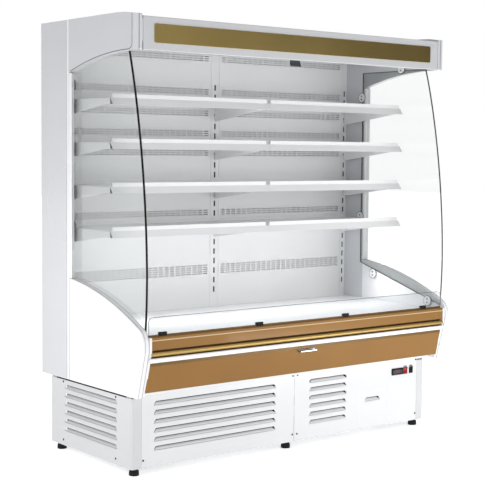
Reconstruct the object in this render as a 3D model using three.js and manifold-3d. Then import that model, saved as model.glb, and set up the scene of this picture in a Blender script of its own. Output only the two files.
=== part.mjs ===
// Open multideck display fridge with a roll-down night blind, sizes in millimetres.
// +X runs along the shelves, -Y faces the customer, +Z is up.
// The origin lies on the floor under the middle of the overall box.

import * as THREE from 'three';
import { mergeVertices } from 'three/addons/utils/BufferGeometryUtils.js';
import Module from 'manifold-3d';

const wasm = await Module();
wasm.setup();

// ---------------------------------------------------------------- driving dimensions

const width = 1920;
const depth = 900;
const height = 2050;
const sideThickness = 30;
const seat = 0.3; // gap left where two pieces touch
const roundSides = 16;

// carcass
const footHeight = 35;
const machineHeight = 338;
const insulation = 45;
const roofThickness = 40;
const roofStep = 5; // roof lies this much under the top of the side walls
const tubWall = 35;
const ductDepth = 73;
const innerSheet = 2;

// side walls, their edge strip and rounded nose
const sideRunBack = 286; // from the back to the front of the square wall
const stripWidth = 25;
const stripGroove = 2;
const noseDepth = 7;

// lower side panels
const panelShoulderZ = 852;
const panelTipZ = 680;
const panelTipInset = 45;
const panelTopRadius = 1680;
const panelFrontInset = 4;
const panelNoseRadius = 38;
const panelNoseBottomZ = 580;
const panelToeInset = 60;
const panelRimWidth = 7;
const panelEdgeRound = 6;

// canopy
const canopyInset = 81; // fascia behind the front of the overall box
const fasciaHeight = 146;
const fasciaTopDrop = 21;
const canopySheet = 3;
const canopyRun = 152;
const lightBoxDepth = 56;
const lightBoxRise = 42;
const fasciaLip = 19;
const capTopDrop = 12;
const capTopRun = 146;
const capShoulderDrop = 239;
const capTipDrop = 168;
const capTipInset = 120;
const capUnderRadius = 1692;
const capReturn = 44;
const capReturnDepth = 26;
const capRound = 14;
const capGrooveWidth = 3;
const capGrooveDepth = 2;
const capGroovePitch = 19;
const goldStripEnd = 101; // ends of the strip inside the overall width
const goldStripHeight = 83;
const goldStripLift = 33;
const goldStripThickness = 3;
const goldStripCorner = 8;

// night blind
const blindX = 30;
const blindInset = 102; // cloth behind the fascia
const cassetteRadius = 26;
const cassetteWall = 2.5;
const cassetteDrop = 114;
const cassetteMouth = 14;
const rollerRadius = 19;
const rollerPin = 4;
const blindEnd = 80; // ends of the blind inside the overall width
const blindThickness = 1;
const blindBarDepth = 11;
const blindBarHeight = 12;
const blindFreeLength = 34; // roller's axis to the top of the pull bar
const handleWidth = 62;
const handleDrop = 26;

// canopy lamp
const lampEnd = 110; // ends of the lamp inside the overall width
const lampWidth = 36;
const lampHeight = 24;

// slotted uprights and perforated back
const uprightWidth = 52;
const uprightSheet = 3;
const slotPitch = 50;
const slotTopMargin = 160; // ceiling to the middle of the top slot, at least
const slotHeight = 26;
const slotWidth = 7;
const firstSlotZ = 729;
const endSlotInset = 18;
const endUprightWidth = 36;
const bandDrops = [20, 190, 300, 404, 504, 662, 812]; // vent bands under the ceiling
const lowBandRise = 198; // lowest band over the deck
const lowBandRows = 3;
const lowBandPitch = 15;
const ventMargin = 38; // end of a panel to its nearest vent slot, about
const ventWeb = 20;
const ventCount = 5;
const ventHeight = 6;
const ceilingDrop = 104;
const dischargeSlots = 16;
const dischargeSlotLength = 80;
const dischargeWeb = 36;
const dischargeMargin = 16;

// shelves
const shelfLevels = 4;
const shelfPitchSlots = 4;
const lowestShelfSlot = 7;
const shelfDepth = 461;
const shelfSheet = 2.5;
const shelfRise = 31; // tray top above the bottom of the ticket rail
const ticketSlope = 22;
const ticketLip = 18;
const bracketDrop = 46;
const bracketSheet = 2;
const bracketNose = 40; // front of a bracket behind the ticket lip
const hookReach = 9;
const hookHeight = 14;
const shelfBelowSlot = 23; // shelf bottom under the middle of its slot
const shelfRearLip = 14;

// display tub
const deckDrop = 8;
const deckSheet = 3;
const returnSlots = 9;
const returnWeb = 27;
const returnSlotWidth = 9;
const returnRows = 2;

// gold front
const frontHeight = 273; // body bottom to the top of the gold front
const upperPanelInset = 8;
const upperPanelHeight = 58;
const frontSheet = 3;
const railGap = 9;
const railHeight = 23;
const railInset = 3;
const bumperGap = 2.5;
const bumperHeight = 20;
const stepHeight = 17;
const stepInset = 16;
const toeInset = 58;
const toeRise = 22;
const tubToeInset = 49;
const tubFrontInset = 30; // tub behind the upper gold panel
const catchX = -10;
const catchWidth = 100;
const catchHeight = 16;
const catchReach = 22;
const catchDrop = 14;

// clear riser and its holder
const riserThickness = 5;
const riserHeight = 84;
const riserInset = 26;
const riserEnd = 6; // riser ends inside the gold front
const riserCorner = 20;
const riserChannel = 6;
const clipShift = -29; // clips stand a little off centre, as on the object
const clipEnd = 101;
const clipCount = 4;
const clipWidth = 40;
const clipHeight = 13;

// side glass
const glassThickness = 6;
const glassTopDrop = 161;
const glassTopInset = 90; // upper front corner behind the fascia
const glassRearLap = 12; // rear edge inside the side wall
const glassShoulderLap = 20; // under the top of the lower side panel
const glassToeInset = 40;
const glassToeRise = 10; // over the gold front
const glassBowTop = [-101, -331]; // pull of the upper half of the bowed edge, in y and z
const glassBowToe = [-45, 369]; // pull of its lower half
const wallClampDrop = 55; // upper wall clamp under the end cap's shoulder
const wallClampRise = 244; // lower wall clamp over the side panel's shoulder
const panelClampRear = 72; // clamp behind the shoulder of the lower side panel
const panelClampFront = 89; // clamp behind the toe of the glass
const panelClampLap = [19, 12]; // clamp centres under the edge of the glass
const capClampInset = 263; // clamp in the end cap, from the side wall
const capClampRise = 12;
const clampRadius = 25;
const clampSheet = 3;
const clampPost = 7;

// base
const baseEndInset = 35;
const baseFrontInset = 149;
const baseBackInset = 42;
const baseSheet = 2;
const wrapWidth = 43;
const wrapRadius = 8;
const rearFold = 30;
const baseSeamX = 20;
const louvreCount = 6;
const louvrePitch = 41;
const topLouvreDrop = 41;
const louvreHeight = 19;
const louvreReach = 8; // free upper edge of a blade inside its panel
const louvreTaper = 6; // upper edge shorter than the lower one, at each end
const louvreSlit = 1; // lanced gap round a blade
const sideLouvreFront = 121; // plain margins beside the louvres
const sideLouvreBack = 126;
const leftLouvreEnd = 117;
const leftLouvreSeam = 116;
const rightLouvreSeam = 98;
const rightLouvreTray = 81;
const frameBar = 40;
const unitTrayEnd = 285; // from the base's left end
const unitTrayGap = 189; // to the condensate tray
const unitTraySheet = 3;
const footRadius = 23;
const footEndInset = 37;
const footFrontInset = 39;
const footRearInset = 34;
const footPadHeight = 13;
const footStudRadius = 7;

// condensate tray
const trayEnd = 476; // tray's left side from the base's right end
const trayFrontWidth = 204;
const trayFrontHeight = 207;
const trayDepth = 300;
const trayWallHeight = 70;
const traySheet = 2;
const trayGripDrop = 47;
const trayGripWidth = 108;

// controls
const controlEnd = 197; // middle of the controller from the base's right end
const controlDrop = 65;
const controllerWidth = 80;
const controllerHeight = 35;
const controllerBezel = 5;
const controllerDepth = 58;
const keyWidth = 9;
const keyHeight = 14;
const keyInset = 7;
const keyProud = 1.5;
const keyLength = 7;
const switchRed = 28;
const switchBlack = 23;
const switchHeight = 31;
const switchGap = 6; // controller to the red rocker
const switchSpace = 17; // red rocker to the black one
const rockerDepth = 9;
const rockerFrame = 2;
const rockerPin = 1.5;

// refrigeration
const compressorInset = 200; // from the right end of the unit's tray
const compressorBack = 348;
const compressorRadius = 82;
const compressorHeight = 185;
const condenserInset = 240; // from the left end of the unit's tray
const condenserFront = 101;
const condenserWidth = 330;
const condenserHeight = 220;
const condenserDepth = 60;
const condenserFins = 7;
const condenserRows = 2;
const finSheet = 2;
const coilTube = 5;
const condenserFanRadius = 98;
const evaporatorEnd = 230; // coil ends inside the walls
const evaporatorBack = 345;
const evaporatorDepth = 200;
const evaporatorFanInset = 30; // fan plane before the evaporator
const evaporatorHeight = 170;
const evaporatorFins = 9;
const evaporatorRows = 2;
const evaporatorFanShare = 0.25; // fan places as a share of the coil's length
const evaporatorFanRadius = 74;
const footBar = 30;
const motorRadius = 26;
const motorLength = 45;
const hubRadius = 22;
const hubLength = 20;
const fanGap = 0.3;
const bladeCount = 5;
const bladeSheet = 2;
const bladePitch = 0.5;

// ---------------------------------------------------------------- derived planes

const halfWidth = width / 2;
const innerX = halfWidth - sideThickness;
const backY = depth / 2;
const frontY = -depth / 2;
const baseTop = footHeight + machineHeight;
const roofZ = height - roofStep;
const tubFloor = baseTop + insulation;
const insulationY = backY - insulation;
const backPanelY = insulationY - ductDepth;
const sideFrontY = backY - sideRunBack;
const fasciaY = frontY + canopyInset;
const fasciaTop = height - fasciaTopDrop;
const fasciaBottom = fasciaTop - fasciaHeight;
const canopyRearY = fasciaY + canopyRun;
const frontTop = baseTop + frontHeight;
const upperPanelY = frontY + upperPanelInset;
const tubFrontY = upperPanelY + tubFrontInset;
const deckTop = frontTop - deckDrop;
const tubRim = deckTop - deckSheet - seat;
const upperPanelZ = frontTop - upperPanelHeight;
const railTop = upperPanelZ - railGap;
const bumperTop = railTop - railHeight - bumperGap;
const stepTop = bumperTop - bumperHeight;
const stepZ = stepTop - stepHeight;
const stepY = frontY + stepInset;
const toeY = frontY + toeInset;
const toeZ = baseTop + toeRise;
const tubToeY = toeY + tubToeInset;
const lightBoxZ = fasciaBottom + lightBoxRise;
const ceilingZ = height - ceilingDrop;
const capShoulderZ = height - capShoulderDrop;
const capTipZ = height - capTipDrop;
const goldStripLength = width - 2 * goldStripEnd;
const lampLength = width - 2 * lampEnd;
const blindY = fasciaY + blindInset;
const cassetteZ = height - cassetteDrop;
const blindLength = width - 2 * blindEnd;
const blindBarTopZ = cassetteZ - blindFreeLength;
const slotCount = Math.floor((ceilingZ - slotTopMargin - firstSlotZ) / slotPitch) + 1;
const shelfFrontY = backPanelY - shelfDepth;
const frontHalf = innerX - panelRimWidth - seat;
const riserLength = 2 * (frontHalf - riserEnd);
const glassTopZ = height - glassTopDrop;
const glassTopFrontY = fasciaY + glassTopInset;
const glassRearY = sideFrontY + glassRearLap;
const glassRearZ = panelShoulderZ - glassShoulderLap;
const glassToeY = frontY + glassToeInset;
const glassToeZ = frontTop + glassToeRise;
const baseHalfWidth = halfWidth - baseEndInset;
const baseFrontY = frontY + baseFrontInset;
const baseBackY = backY - baseBackInset;
const topLouvreZ = baseTop - topLouvreDrop;
const trayX = baseHalfWidth - trayEnd;
const trayGripZ = footHeight + trayFrontHeight - trayGripDrop;
const controlX = baseHalfWidth - controlEnd;
const controlZ = baseTop - controlDrop;
const unitTrayX = -baseHalfWidth + unitTrayEnd;
const unitTrayRight = trayX - unitTrayGap;
const footX = baseHalfWidth - footEndInset;
const footFrontY = baseFrontY + footFrontInset;
const footRearY = baseBackY - footRearInset;
const compressorX = unitTrayRight - compressorInset;
const compressorY = baseBackY - compressorBack;
const condenserX = unitTrayX + condenserInset;
const condenserY = baseFrontY + condenserFront;
const evaporatorLength = 2 * (innerX - evaporatorEnd);
const evaporatorY = insulationY - evaporatorBack;
const evaporatorFanX = evaporatorLength * evaporatorFanShare;

// ---------------------------------------------------------------- solid helpers

/** Turns a closed geometry into a solid for joining and cutting. */
function solid(geometry) {
  const bare = geometry.index ? geometry.toNonIndexed() : geometry.clone();
  bare.deleteAttribute('normal');
  bare.deleteAttribute('uv');
  const merged = mergeVertices(bare, 1e-3);
  return new wasm.Manifold(new wasm.Mesh({
    numProp: 3,
    vertProperties: new Float32Array(merged.attributes.position.array),
    triVerts: new Uint32Array(merged.index.array),
  }));
}

/** Turns a solid back into a geometry. */
function geometryOf(body) {
  const mesh = body.getMesh();
  const geometry = new THREE.BufferGeometry();
  geometry.setAttribute('position', new THREE.BufferAttribute(mesh.vertProperties, 3));
  geometry.setIndex(new THREE.BufferAttribute(mesh.triVerts, 1));
  geometry.computeVertexNormals();
  return geometry;
}

function join(...bodies) {
  return bodies.reduce((whole, body) => whole.add(body));
}

function cut(body, ...tools) {
  return tools.reduce((rest, tool) => rest.subtract(tool), body);
}

/** Moves every vertex of a geometry by a rule, in place. */
function remapped(geometry, rule) {
  const { position } = geometry.attributes;
  for (let i = 0; i < position.count; i += 1) {
    position.setXYZ(i, ...rule(position.getX(i), position.getY(i), position.getZ(i)));
  }
  return geometry;
}

/** A block between two opposite corners. */
function block(x0, x1, y0, y1, z0, z1) {
  const rule = (x, y, z) => [x > 0 ? x1 : x0, y > 0 ? y1 : y0, z > 0 ? z1 : z0];
  return solid(remapped(new THREE.BoxGeometry(1, 1, 1), rule));
}

function outline(points) {
  return new THREE.Shape(points.map(([u, v]) => new THREE.Vector2(u, v)));
}

function extruded(shape, length) {
  return new THREE.ExtrudeGeometry(shape, { depth: length, bevelEnabled: false, curveSegments: 7 });
}

/** Extrudes a (y, z) outline from x0 to x1. */
function alongX(shape, x0, x1) {
  const length = x1 - x0;
  return solid(remapped(extruded(shape, length), (u, v, w) => [w > length / 2 ? x1 : x0, u, v]));
}

/** Extrudes an (x, z) outline from y0 to y1. */
function alongY(shape, y0, y1) {
  const length = y1 - y0;
  return solid(remapped(extruded(shape, length), (u, v, w) => [u, w > length / 2 ? y0 : y1, v]));
}

/** Extrudes an (x, y) outline from z0 to z1. */
function alongZ(shape, z0, z1) {
  const length = z1 - z0;
  return solid(remapped(extruded(shape, length), (u, v, w) => [u, v, w > length / 2 ? z1 : z0]));
}

/** Extrudes a (y, z) outline from x0 to x1 with both rims rounded. */
function roundedAlongX(shape, x0, x1, round) {
  const geometry = new THREE.ExtrudeGeometry(shape, {
    depth: x1 - x0 - 2 * round, bevelEnabled: true, bevelThickness: round, bevelSize: round,
    bevelOffset: -round, bevelSegments: 2,
  });
  return solid(remapped(geometry, (u, v, w) => [x0 + round + w, u, v]));
}

/** A round bar along an axis, given by its middle, radius and length. */
function bar(axis, [x, y, z], radius, length, sides = roundSides) {
  const [u, v, w] = { x: [y, z, x], y: [x, z, y], z: [x, y, z] }[axis];
  const ring = outline(Array.from({ length: sides }, (_, i) => {
    const angle = (i + 0.5) * 2 * Math.PI / sides;
    return [u + radius * Math.cos(angle), v + radius * Math.sin(angle)];
  }));
  const along = { x: alongX, y: alongY, z: alongZ }[axis];
  return along(ring, w - length / 2, w + length / 2);
}

function mirrored(body) {
  return body.mirror([1, 0, 0]);
}

function roundedRectangle(u0, u1, v0, v1, radius) {
  const shape = new THREE.Shape();
  shape.moveTo(u0 + radius, v0);
  shape.lineTo(u1 - radius, v0);
  shape.absarc(u1 - radius, v0 + radius, radius, -Math.PI / 2, 0, false);
  shape.lineTo(u1, v1 - radius);
  shape.absarc(u1 - radius, v1 - radius, radius, 0, Math.PI / 2, false);
  shape.lineTo(u0 + radius, v1);
  shape.absarc(u0 + radius, v1 - radius, radius, Math.PI / 2, Math.PI, false);
  shape.lineTo(u0, v0 + radius);
  shape.absarc(u0 + radius, v0 + radius, radius, Math.PI, Math.PI * 1.5, false);
  return shape;
}

/** Points of the arc from a to b with the given radius, bulging to its left. */
function arcPoints(a, b, radius, steps) {
  const chord = Math.hypot(b[0] - a[0], b[1] - a[1]);
  const half = Math.asin(chord / 2 / radius);
  const rise = Math.sqrt(radius * radius - chord * chord / 4);
  const dir = [(b[0] - a[0]) / chord, (b[1] - a[1]) / chord];
  const left = [-dir[1], dir[0]];
  const centre = [(a[0] + b[0]) / 2 - left[0] * rise, (a[1] + b[1]) / 2 - left[1] * rise];
  const points = [];
  for (let i = 0; i <= steps; i += 1) {
    const angle = half - 2 * half * i / steps;
    const along = -Math.sin(angle) * radius;
    const out = Math.cos(angle) * radius;
    points.push([centre[0] + dir[0] * along + left[0] * out, centre[1] + dir[1] * along + left[1] * out]);
  }
  return points;
}

const finish = {
  whitePaint: { color: 0xf2f4f6, roughness: 0.35, metalness: 0 },
  greyPaint: { color: 0xd4d9de, roughness: 0.35, metalness: 0 },
  gold: { color: 0xb08048, roughness: 0.35, metalness: 0.7 },
  rail: { color: 0xd8b872, roughness: 0.25, metalness: 0.8 },
  strip: { color: 0x8a6a2c, roughness: 0.3, metalness: 0.6 },
  glass: { color: 0xdfeceb, roughness: 0.05, metalness: 0, transparent: true, opacity: 0.3 },
  black: { color: 0x161616, roughness: 0.5, metalness: 0 },
  red: { color: 0xb02020, roughness: 0.35, metalness: 0 },
  steel: { color: 0xa9adb0, roughness: 0.4, metalness: 0.9 },
  aluminium: { color: 0xc4c8ca, roughness: 0.35, metalness: 0.9 },
  copper: { color: 0xb87244, roughness: 0.3, metalness: 0.9 },
  lamp: { color: 0xfbfbf2, roughness: 0.5, metalness: 0 },
  fabric: { color: 0xdadcd8, roughness: 0.9, metalness: 0 },
};

const group = new THREE.Group();

function place(name, body, look) {
  const mesh = new THREE.Mesh(geometryOf(body), new THREE.MeshStandardMaterial(finish[look]));
  mesh.name = name;
  group.add(mesh);
}

// ---------------------------------------------------------------- carcass

/** Foamed shell: back, roof and the tub that holds the evaporator, in one bent profile. */
function insulatedBody() {
  const shape = outline([
    [backY, baseTop],
    [backY, roofZ],
    [canopyRearY + seat, roofZ],
    [canopyRearY + seat, roofZ - roofThickness],
    [insulationY, roofZ - roofThickness],
    [insulationY, tubFloor],
    [tubFrontY + tubWall + insulation, tubFloor],
    [tubFrontY + tubWall, tubFloor + insulation],
    [tubFrontY + tubWall, tubRim],
    [tubFrontY, tubRim],
    [tubFrontY, stepTop],
    [tubToeY, baseTop],
  ]);
  return alongX(shape, -innerX + seat, innerX - seat);
}

/** Cutters for the column of hook slots at x. */
function hookSlots(x) {
  return Array.from({ length: slotCount }, (_, i) => {
    const z = firstSlotZ + i * slotPitch;
    return block(
      x - slotWidth / 2, x + slotWidth / 2, backPanelY - 1, backPanelY + uprightSheet + 1,
      z - slotHeight / 2, z + slotHeight / 2,
    );
  });
}

/** Round clamp that holds the edge of the side glass from inside. */
function glassClamp(y, z, postY, postZ) {
  const face = innerX - seat - glassThickness - seat;
  const disc = bar('x', [face - clampSheet / 2, y, z], clampRadius, clampSheet);
  const x0 = face - clampSheet;
  const x1 = innerX + 1;
  const post = bar('x', [(x0 + x1) / 2, postY, postZ], clampPost, x1 - x0, 8);
  return join(disc, post);
}

/** Side wall with its grooved edge strip, rounded nose, end upright and rear glass clamps. */
function sideWall() {
  const plan = outline([
    [innerX, sideFrontY],
    [halfWidth, sideFrontY],
    [halfWidth, sideFrontY + stripWidth],
    [halfWidth - stripGroove, sideFrontY + stripWidth + stripGroove],
    [halfWidth, sideFrontY + stripWidth + 2 * stripGroove],
    [halfWidth, backY - capRound],
    [halfWidth - capRound * 0.3, backY - capRound * 0.3],
    [halfWidth - capRound, backY],
    [innerX, backY],
  ]);
  const wall = alongZ(plan, baseTop, height);
  const noseShape = new THREE.Shape();
  noseShape.moveTo(innerX, sideFrontY + 1);
  const halfNose = sideThickness / 2;
  noseShape.absellipse(
    innerX + halfNose, sideFrontY, halfNose, noseDepth, Math.PI, 2 * Math.PI, false, 0,
  );
  noseShape.lineTo(halfWidth, sideFrontY + 1);
  const nose = alongZ(noseShape, panelShoulderZ + seat, capShoulderZ - seat);
  const upright = block(
    innerX - endUprightWidth, innerX + 1, backPanelY, backPanelY + uprightSheet,
    tubFloor + seat, ceilingZ - seat,
  );
  const clampY = glassRearY + clampRadius * 0.75;
  const places = [capShoulderZ - wallClampDrop, panelShoulderZ + wallClampRise];
  const clamps = places.map((z) => glassClamp(clampY, z, clampY + clampPost, z));
  return join(wall, nose, cut(upright, ...hookSlots(innerX - endSlotInset)), ...clamps);
}

/** Height of the lower edge of the side glass at a depth y. */
function glassFootZ(y) {
  return glassToeZ + (y - glassToeY) * (glassRearZ - glassToeZ) / (glassRearY - glassToeY);
}

/** Front face of the tub at a height between its toe and the step. */
function tubFaceY(z) {
  return tubToeY + (z - baseTop) * (tubFrontY - tubToeY) / (stepTop - baseTop);
}

/** Lower side panel with its curved shoulder, front nose and slanted toe. */
function lowerSidePanel() {
  const nose = frontY + panelFrontInset;
  const tip = [frontY + panelTipInset, panelTipZ];
  const shoulder = [sideFrontY - seat, panelShoulderZ];
  const top = arcPoints(tip, shoulder, panelTopRadius, 10).reverse();
  const r = panelNoseRadius;
  const corner = new THREE.QuadraticBezierCurve(
    new THREE.Vector2(...tip),
    new THREE.Vector2(nose, tip[1] - r * 0.75),
    new THREE.Vector2(nose, tip[1] - 2 * r),
  ).getPoints(5).slice(1).map((p) => [p.x, p.y]);
  const edge = [...top, ...corner];
  const foot = [
    [nose, panelNoseBottomZ],
    [frontY + panelToeInset, baseTop],
    [sideFrontY - seat, baseTop],
  ];
  const shape = outline([...edge, ...foot]);
  const body = roundedAlongX(shape, innerX, halfWidth, panelEdgeRound);
  const keep = block(innerX, halfWidth, frontY, sideFrontY - seat, baseTop, height);
  const square = alongX(shape, innerX, halfWidth).intersect(
    block(
      innerX, halfWidth, sideFrontY - 3 * panelEdgeRound, sideFrontY - seat,
      baseTop, panelShoulderZ + 10,
    ),
  );
  const plate = join(body, square).intersect(keep);
  const rimShape = outline([
    [nose + panelEdgeRound, frontTop - panelEdgeRound],
    [nose + panelEdgeRound, panelNoseBottomZ],
    [frontY + panelToeInset + panelEdgeRound, baseTop + panelEdgeRound],
    [tubFaceY(baseTop + panelEdgeRound) - innerSheet, baseTop + panelEdgeRound],
    [tubFrontY - innerSheet, stepTop],
    [tubFrontY - innerSheet, frontTop - panelEdgeRound],
  ]);
  const rim = alongX(rimShape, innerX - panelRimWidth, innerX + 1);
  const places = [sideFrontY - panelClampRear, glassToeY + panelClampFront];
  const clamps = places.map((y, i) => {
    const z = glassFootZ(y) - panelClampLap[i];
    return glassClamp(y, z, y, z - clampPost);
  });
  return join(plate, rim, ...clamps);
}

/** Canopy end cap: a side plate with a drooping front and a grooved return round the corner. */
function endCap() {
  const tip = [frontY + capTipInset, capTipZ];
  const shoulder = [sideFrontY - seat, capShoulderZ];
  const under = arcPoints(tip, shoulder, capUnderRadius, 10);
  const shape = outline([
    [fasciaY + capRound, fasciaBottom],
    ...under,
    [sideFrontY - seat, height],
    [fasciaY + capTopRun, height],
    [fasciaY + capTopRun / 2, height - capTopDrop / 3],
    [fasciaY + capRound, height - capTopDrop],
  ]);
  const plate = alongX(shape, innerX, halfWidth);
  const plan = new THREE.Shape();
  const inX = halfWidth - capReturn;
  plan.moveTo(inX, fasciaY + capReturnDepth);
  plan.lineTo(inX, fasciaY);
  for (let i = 1; i <= 2; i += 1) {
    const x = inX + i * capGroovePitch - capGroovePitch / 2;
    plan.lineTo(x - capGrooveWidth / 2, fasciaY);
    plan.lineTo(x, fasciaY + capGrooveDepth);
    plan.lineTo(x + capGrooveWidth / 2, fasciaY);
  }
  plan.absarc(halfWidth - capRound, fasciaY + capRound, capRound, -Math.PI / 2, 0, false);
  plan.lineTo(halfWidth, fasciaY + capReturnDepth);
  const front = alongZ(plan, fasciaBottom, height - capTopDrop - 1);
  const soft = roundedRectangle(
    fasciaY, fasciaY + 3 * capReturnDepth, fasciaBottom, height - capTopDrop - 1, capRound,
  );
  const nose = front.intersect(alongX(soft, inX - 1, halfWidth + 1));
  const clampY = sideFrontY - capClampInset;
  const clampZ = glassTopZ + capClampRise;
  const clamp = glassClamp(clampY, clampZ, clampY, clampZ + clampPost);
  return join(plate, nose, clamp);
}

/** White fascia folded round a light box, with a dripping lip under it. */
function canopyHousing() {
  const slope = (roofZ - fasciaTop) / canopyRun;
  const topAt = (y) => fasciaTop + (y - fasciaY) * slope;
  const t = canopySheet;
  const boxRear = fasciaY + lightBoxDepth;
  const shape = outline([
    [canopyRearY, topAt(canopyRearY)],
    [fasciaY, fasciaTop],
    [fasciaY, fasciaBottom],
    [fasciaY + fasciaLip, fasciaBottom],
    [fasciaY + fasciaLip, fasciaBottom + t],
    [fasciaY + t, fasciaBottom + t],
    [fasciaY + t, lightBoxZ],
    [boxRear, lightBoxZ],
    [boxRear, topAt(boxRear) - t],
    [canopyRearY, topAt(canopyRearY) - t],
  ]);
  const inside = new THREE.Path();
  inside.moveTo(fasciaY + t, lightBoxZ + t);
  inside.lineTo(boxRear - t, lightBoxZ + t);
  inside.lineTo(boxRear - t, topAt(boxRear - t) - t);
  inside.lineTo(fasciaY + t, topAt(fasciaY + t) - t);
  inside.closePath();
  shape.holes.push(inside);
  const half = halfWidth - capReturn - seat;
  const fold = alongX(shape, -innerX + seat, innerX - seat);
  const clear = (side) => block(
    side < 0 ? -innerX : half, side < 0 ? -half : innerX,
    fasciaY - 1, fasciaY + capReturnDepth + seat, fasciaBottom - 1, height,
  );
  return cut(fold, clear(-1), clear(1));
}

function goldStrip() {
  const z0 = fasciaBottom + goldStripLift;
  const half = goldStripLength / 2;
  const shape = roundedRectangle(-half, half, z0, z0 + goldStripHeight, goldStripCorner);
  return alongY(shape, fasciaY - goldStripThickness - seat, fasciaY - seat);
}

/** Lamp batten with a rounded diffuser, hung under the light box. */
function canopyLamp() {
  const y = fasciaY + (lightBoxDepth + canopySheet) / 2;
  const top = lightBoxZ - seat;
  const shape = new THREE.Shape();
  shape.moveTo(y - lampWidth / 2, top);
  shape.lineTo(y - lampWidth / 2, top - lampHeight / 3);
  const sag = lampHeight * 2 / 3;
  shape.absellipse(
    y, top - lampHeight + sag, lampWidth / 2, sag, Math.PI, 2 * Math.PI, false, 0,
  );
  shape.lineTo(y + lampWidth / 2, top);
  return alongX(shape, -lampLength / 2, lampLength / 2);
}

/** Ceiling sheet that closes the air duct, with the discharge slots at its front. */
function ceilingPanel() {
  const y0 = canopyRearY + seat + roofThickness / 4;
  const y1 = backPanelY + uprightSheet;
  const half = innerX - seat;
  const pitch = 2 * half / dischargeSlots;
  const slots = Array.from({ length: dischargeSlots }, (_, i) => {
    const x = -half + (i + 0.5) * pitch;
    const reach = (pitch - dischargeWeb) / 2;
    return block(
      x - reach, x + reach, y0 + dischargeMargin,
      y0 + dischargeMargin + dischargeSlotLength, ceilingZ - 1, ceilingZ + innerSheet + 1,
    );
  });
  const sheet = cut(block(-half, half, y0, y1, ceilingZ, ceilingZ + innerSheet), ...slots);
  const flange = block(-half, half, y0, y0 + innerSheet, ceilingZ, roofZ - roofThickness - seat);
  return join(sheet, flange);
}

// ---------------------------------------------------------------- uprights, back and shelves

/** Middle upright: a channel on the rear insulation with a column of hook slots. */
function middleUpright() {
  const half = uprightWidth / 2;
  const plate = block(-half, half, backPanelY, backPanelY + uprightSheet, tubFloor + seat, ceilingZ - seat);
  const face = cut(plate, ...hookSlots(0));
  const flange = (x) => block(
    x, x + uprightSheet, backPanelY, insulationY - seat, tubFloor + seat, ceilingZ - seat,
  );
  return join(face, flange(-half), flange(half - uprightSheet));
}

/** Perforated back panel of one bay, with the ledge that carries the deck. */
function backPanel() {
  const x0 = uprightWidth / 2 + seat;
  const x1 = innerX - endUprightWidth - seat;
  const z0 = deckTop - deckSheet - seat;
  const pitch = (x1 - x0 - 2 * ventMargin + ventWeb) / ventCount;
  const band = (z) => Array.from({ length: ventCount }, (_, i) => {
    const x = x0 + ventMargin + i * pitch;
    return block(
      x, x + pitch - ventWeb, backPanelY - 1, backPanelY + innerSheet + 1,
      z - ventHeight / 2, z + ventHeight / 2,
    );
  });
  const lowBand = Array.from({ length: lowBandRows }, (_, row) => (
    deckTop + lowBandRise + (row - (lowBandRows - 1) / 2) * lowBandPitch
  ));
  const plate = block(x0, x1, backPanelY, backPanelY + innerSheet, z0 - innerSheet, ceilingZ - seat);
  const sheet = cut(plate, ...[...bandDrops.map((drop) => ceilingZ - drop), ...lowBand].flatMap(band));
  const ledge = block(x0, x1, backPanelY - 6 * innerSheet, backPanelY + innerSheet, z0 - innerSheet, z0);
  return join(sheet, ledge);
}

/** One shelf of the right bay: tray, folded ticket rail, tapered brackets and hooks. */
function shelf(level) {
  const rail = lowestShelfSlot + level * shelfPitchSlots;
  const slotZ = firstSlotZ + rail * slotPitch;
  const z0 = slotZ - shelfBelowSlot;
  const top = z0 + shelfRise;
  const x0 = seat;
  const x1 = innerX - endSlotInset + bracketSheet / 2 + seat;
  const rear = backPanelY - seat;
  const t = shelfSheet;
  const lipY = shelfFrontY + ticketSlope;
  const profile = outline([
    [shelfFrontY, z0],
    [shelfFrontY + ticketSlope, z0],
    [shelfFrontY + ticketSlope, z0 + t],
    [shelfFrontY + t * 1.6, z0 + t],
    [lipY + t * 1.2, top - t],
    [rear, top - t],
    [rear, top + shelfRearLip],
    [rear - t, top + shelfRearLip],
    [rear - t, top],
    [lipY + t * 1.2, top],
    [lipY + t * 1.2, top + ticketLip],
    [lipY - t * 0.2, top + ticketLip],
    [lipY - t * 0.2, top],
  ]);
  const tray = alongX(profile, x0, x1);
  const bracketShape = outline([
    [lipY - 2, z0 + t / 2],
    [lipY + bracketNose, z0 + t / 2],
    [rear, z0 - bracketDrop],
    [rear, top - t / 2],
    [lipY + 4, top - t / 2],
  ]);
  const reach = backPanelY + uprightSheet + hookReach;
  const hook = (x, low, high) => join(
    block(x, x + bracketSheet, rear - 1, reach, low, high),
    block(x, x + bracketSheet, reach - hookReach + seat, reach, low - hookHeight / 2, low + 1),
  );
  const bracket = (x) => join(
    alongX(bracketShape, x, x + bracketSheet),
    hook(x, slotZ - slotHeight / 2 + seat, slotZ - slotHeight / 2 + seat + hookHeight),
    hook(x, slotZ - slotPitch - slotHeight / 2 + 2 * bracketSheet, slotZ - slotPitch + bracketSheet),
  );
  const inner = bracket(x0);
  const outer = bracket(x1 - bracketSheet);
  return join(tray, inner, outer);
}

// ---------------------------------------------------------------- display tub and front

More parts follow.
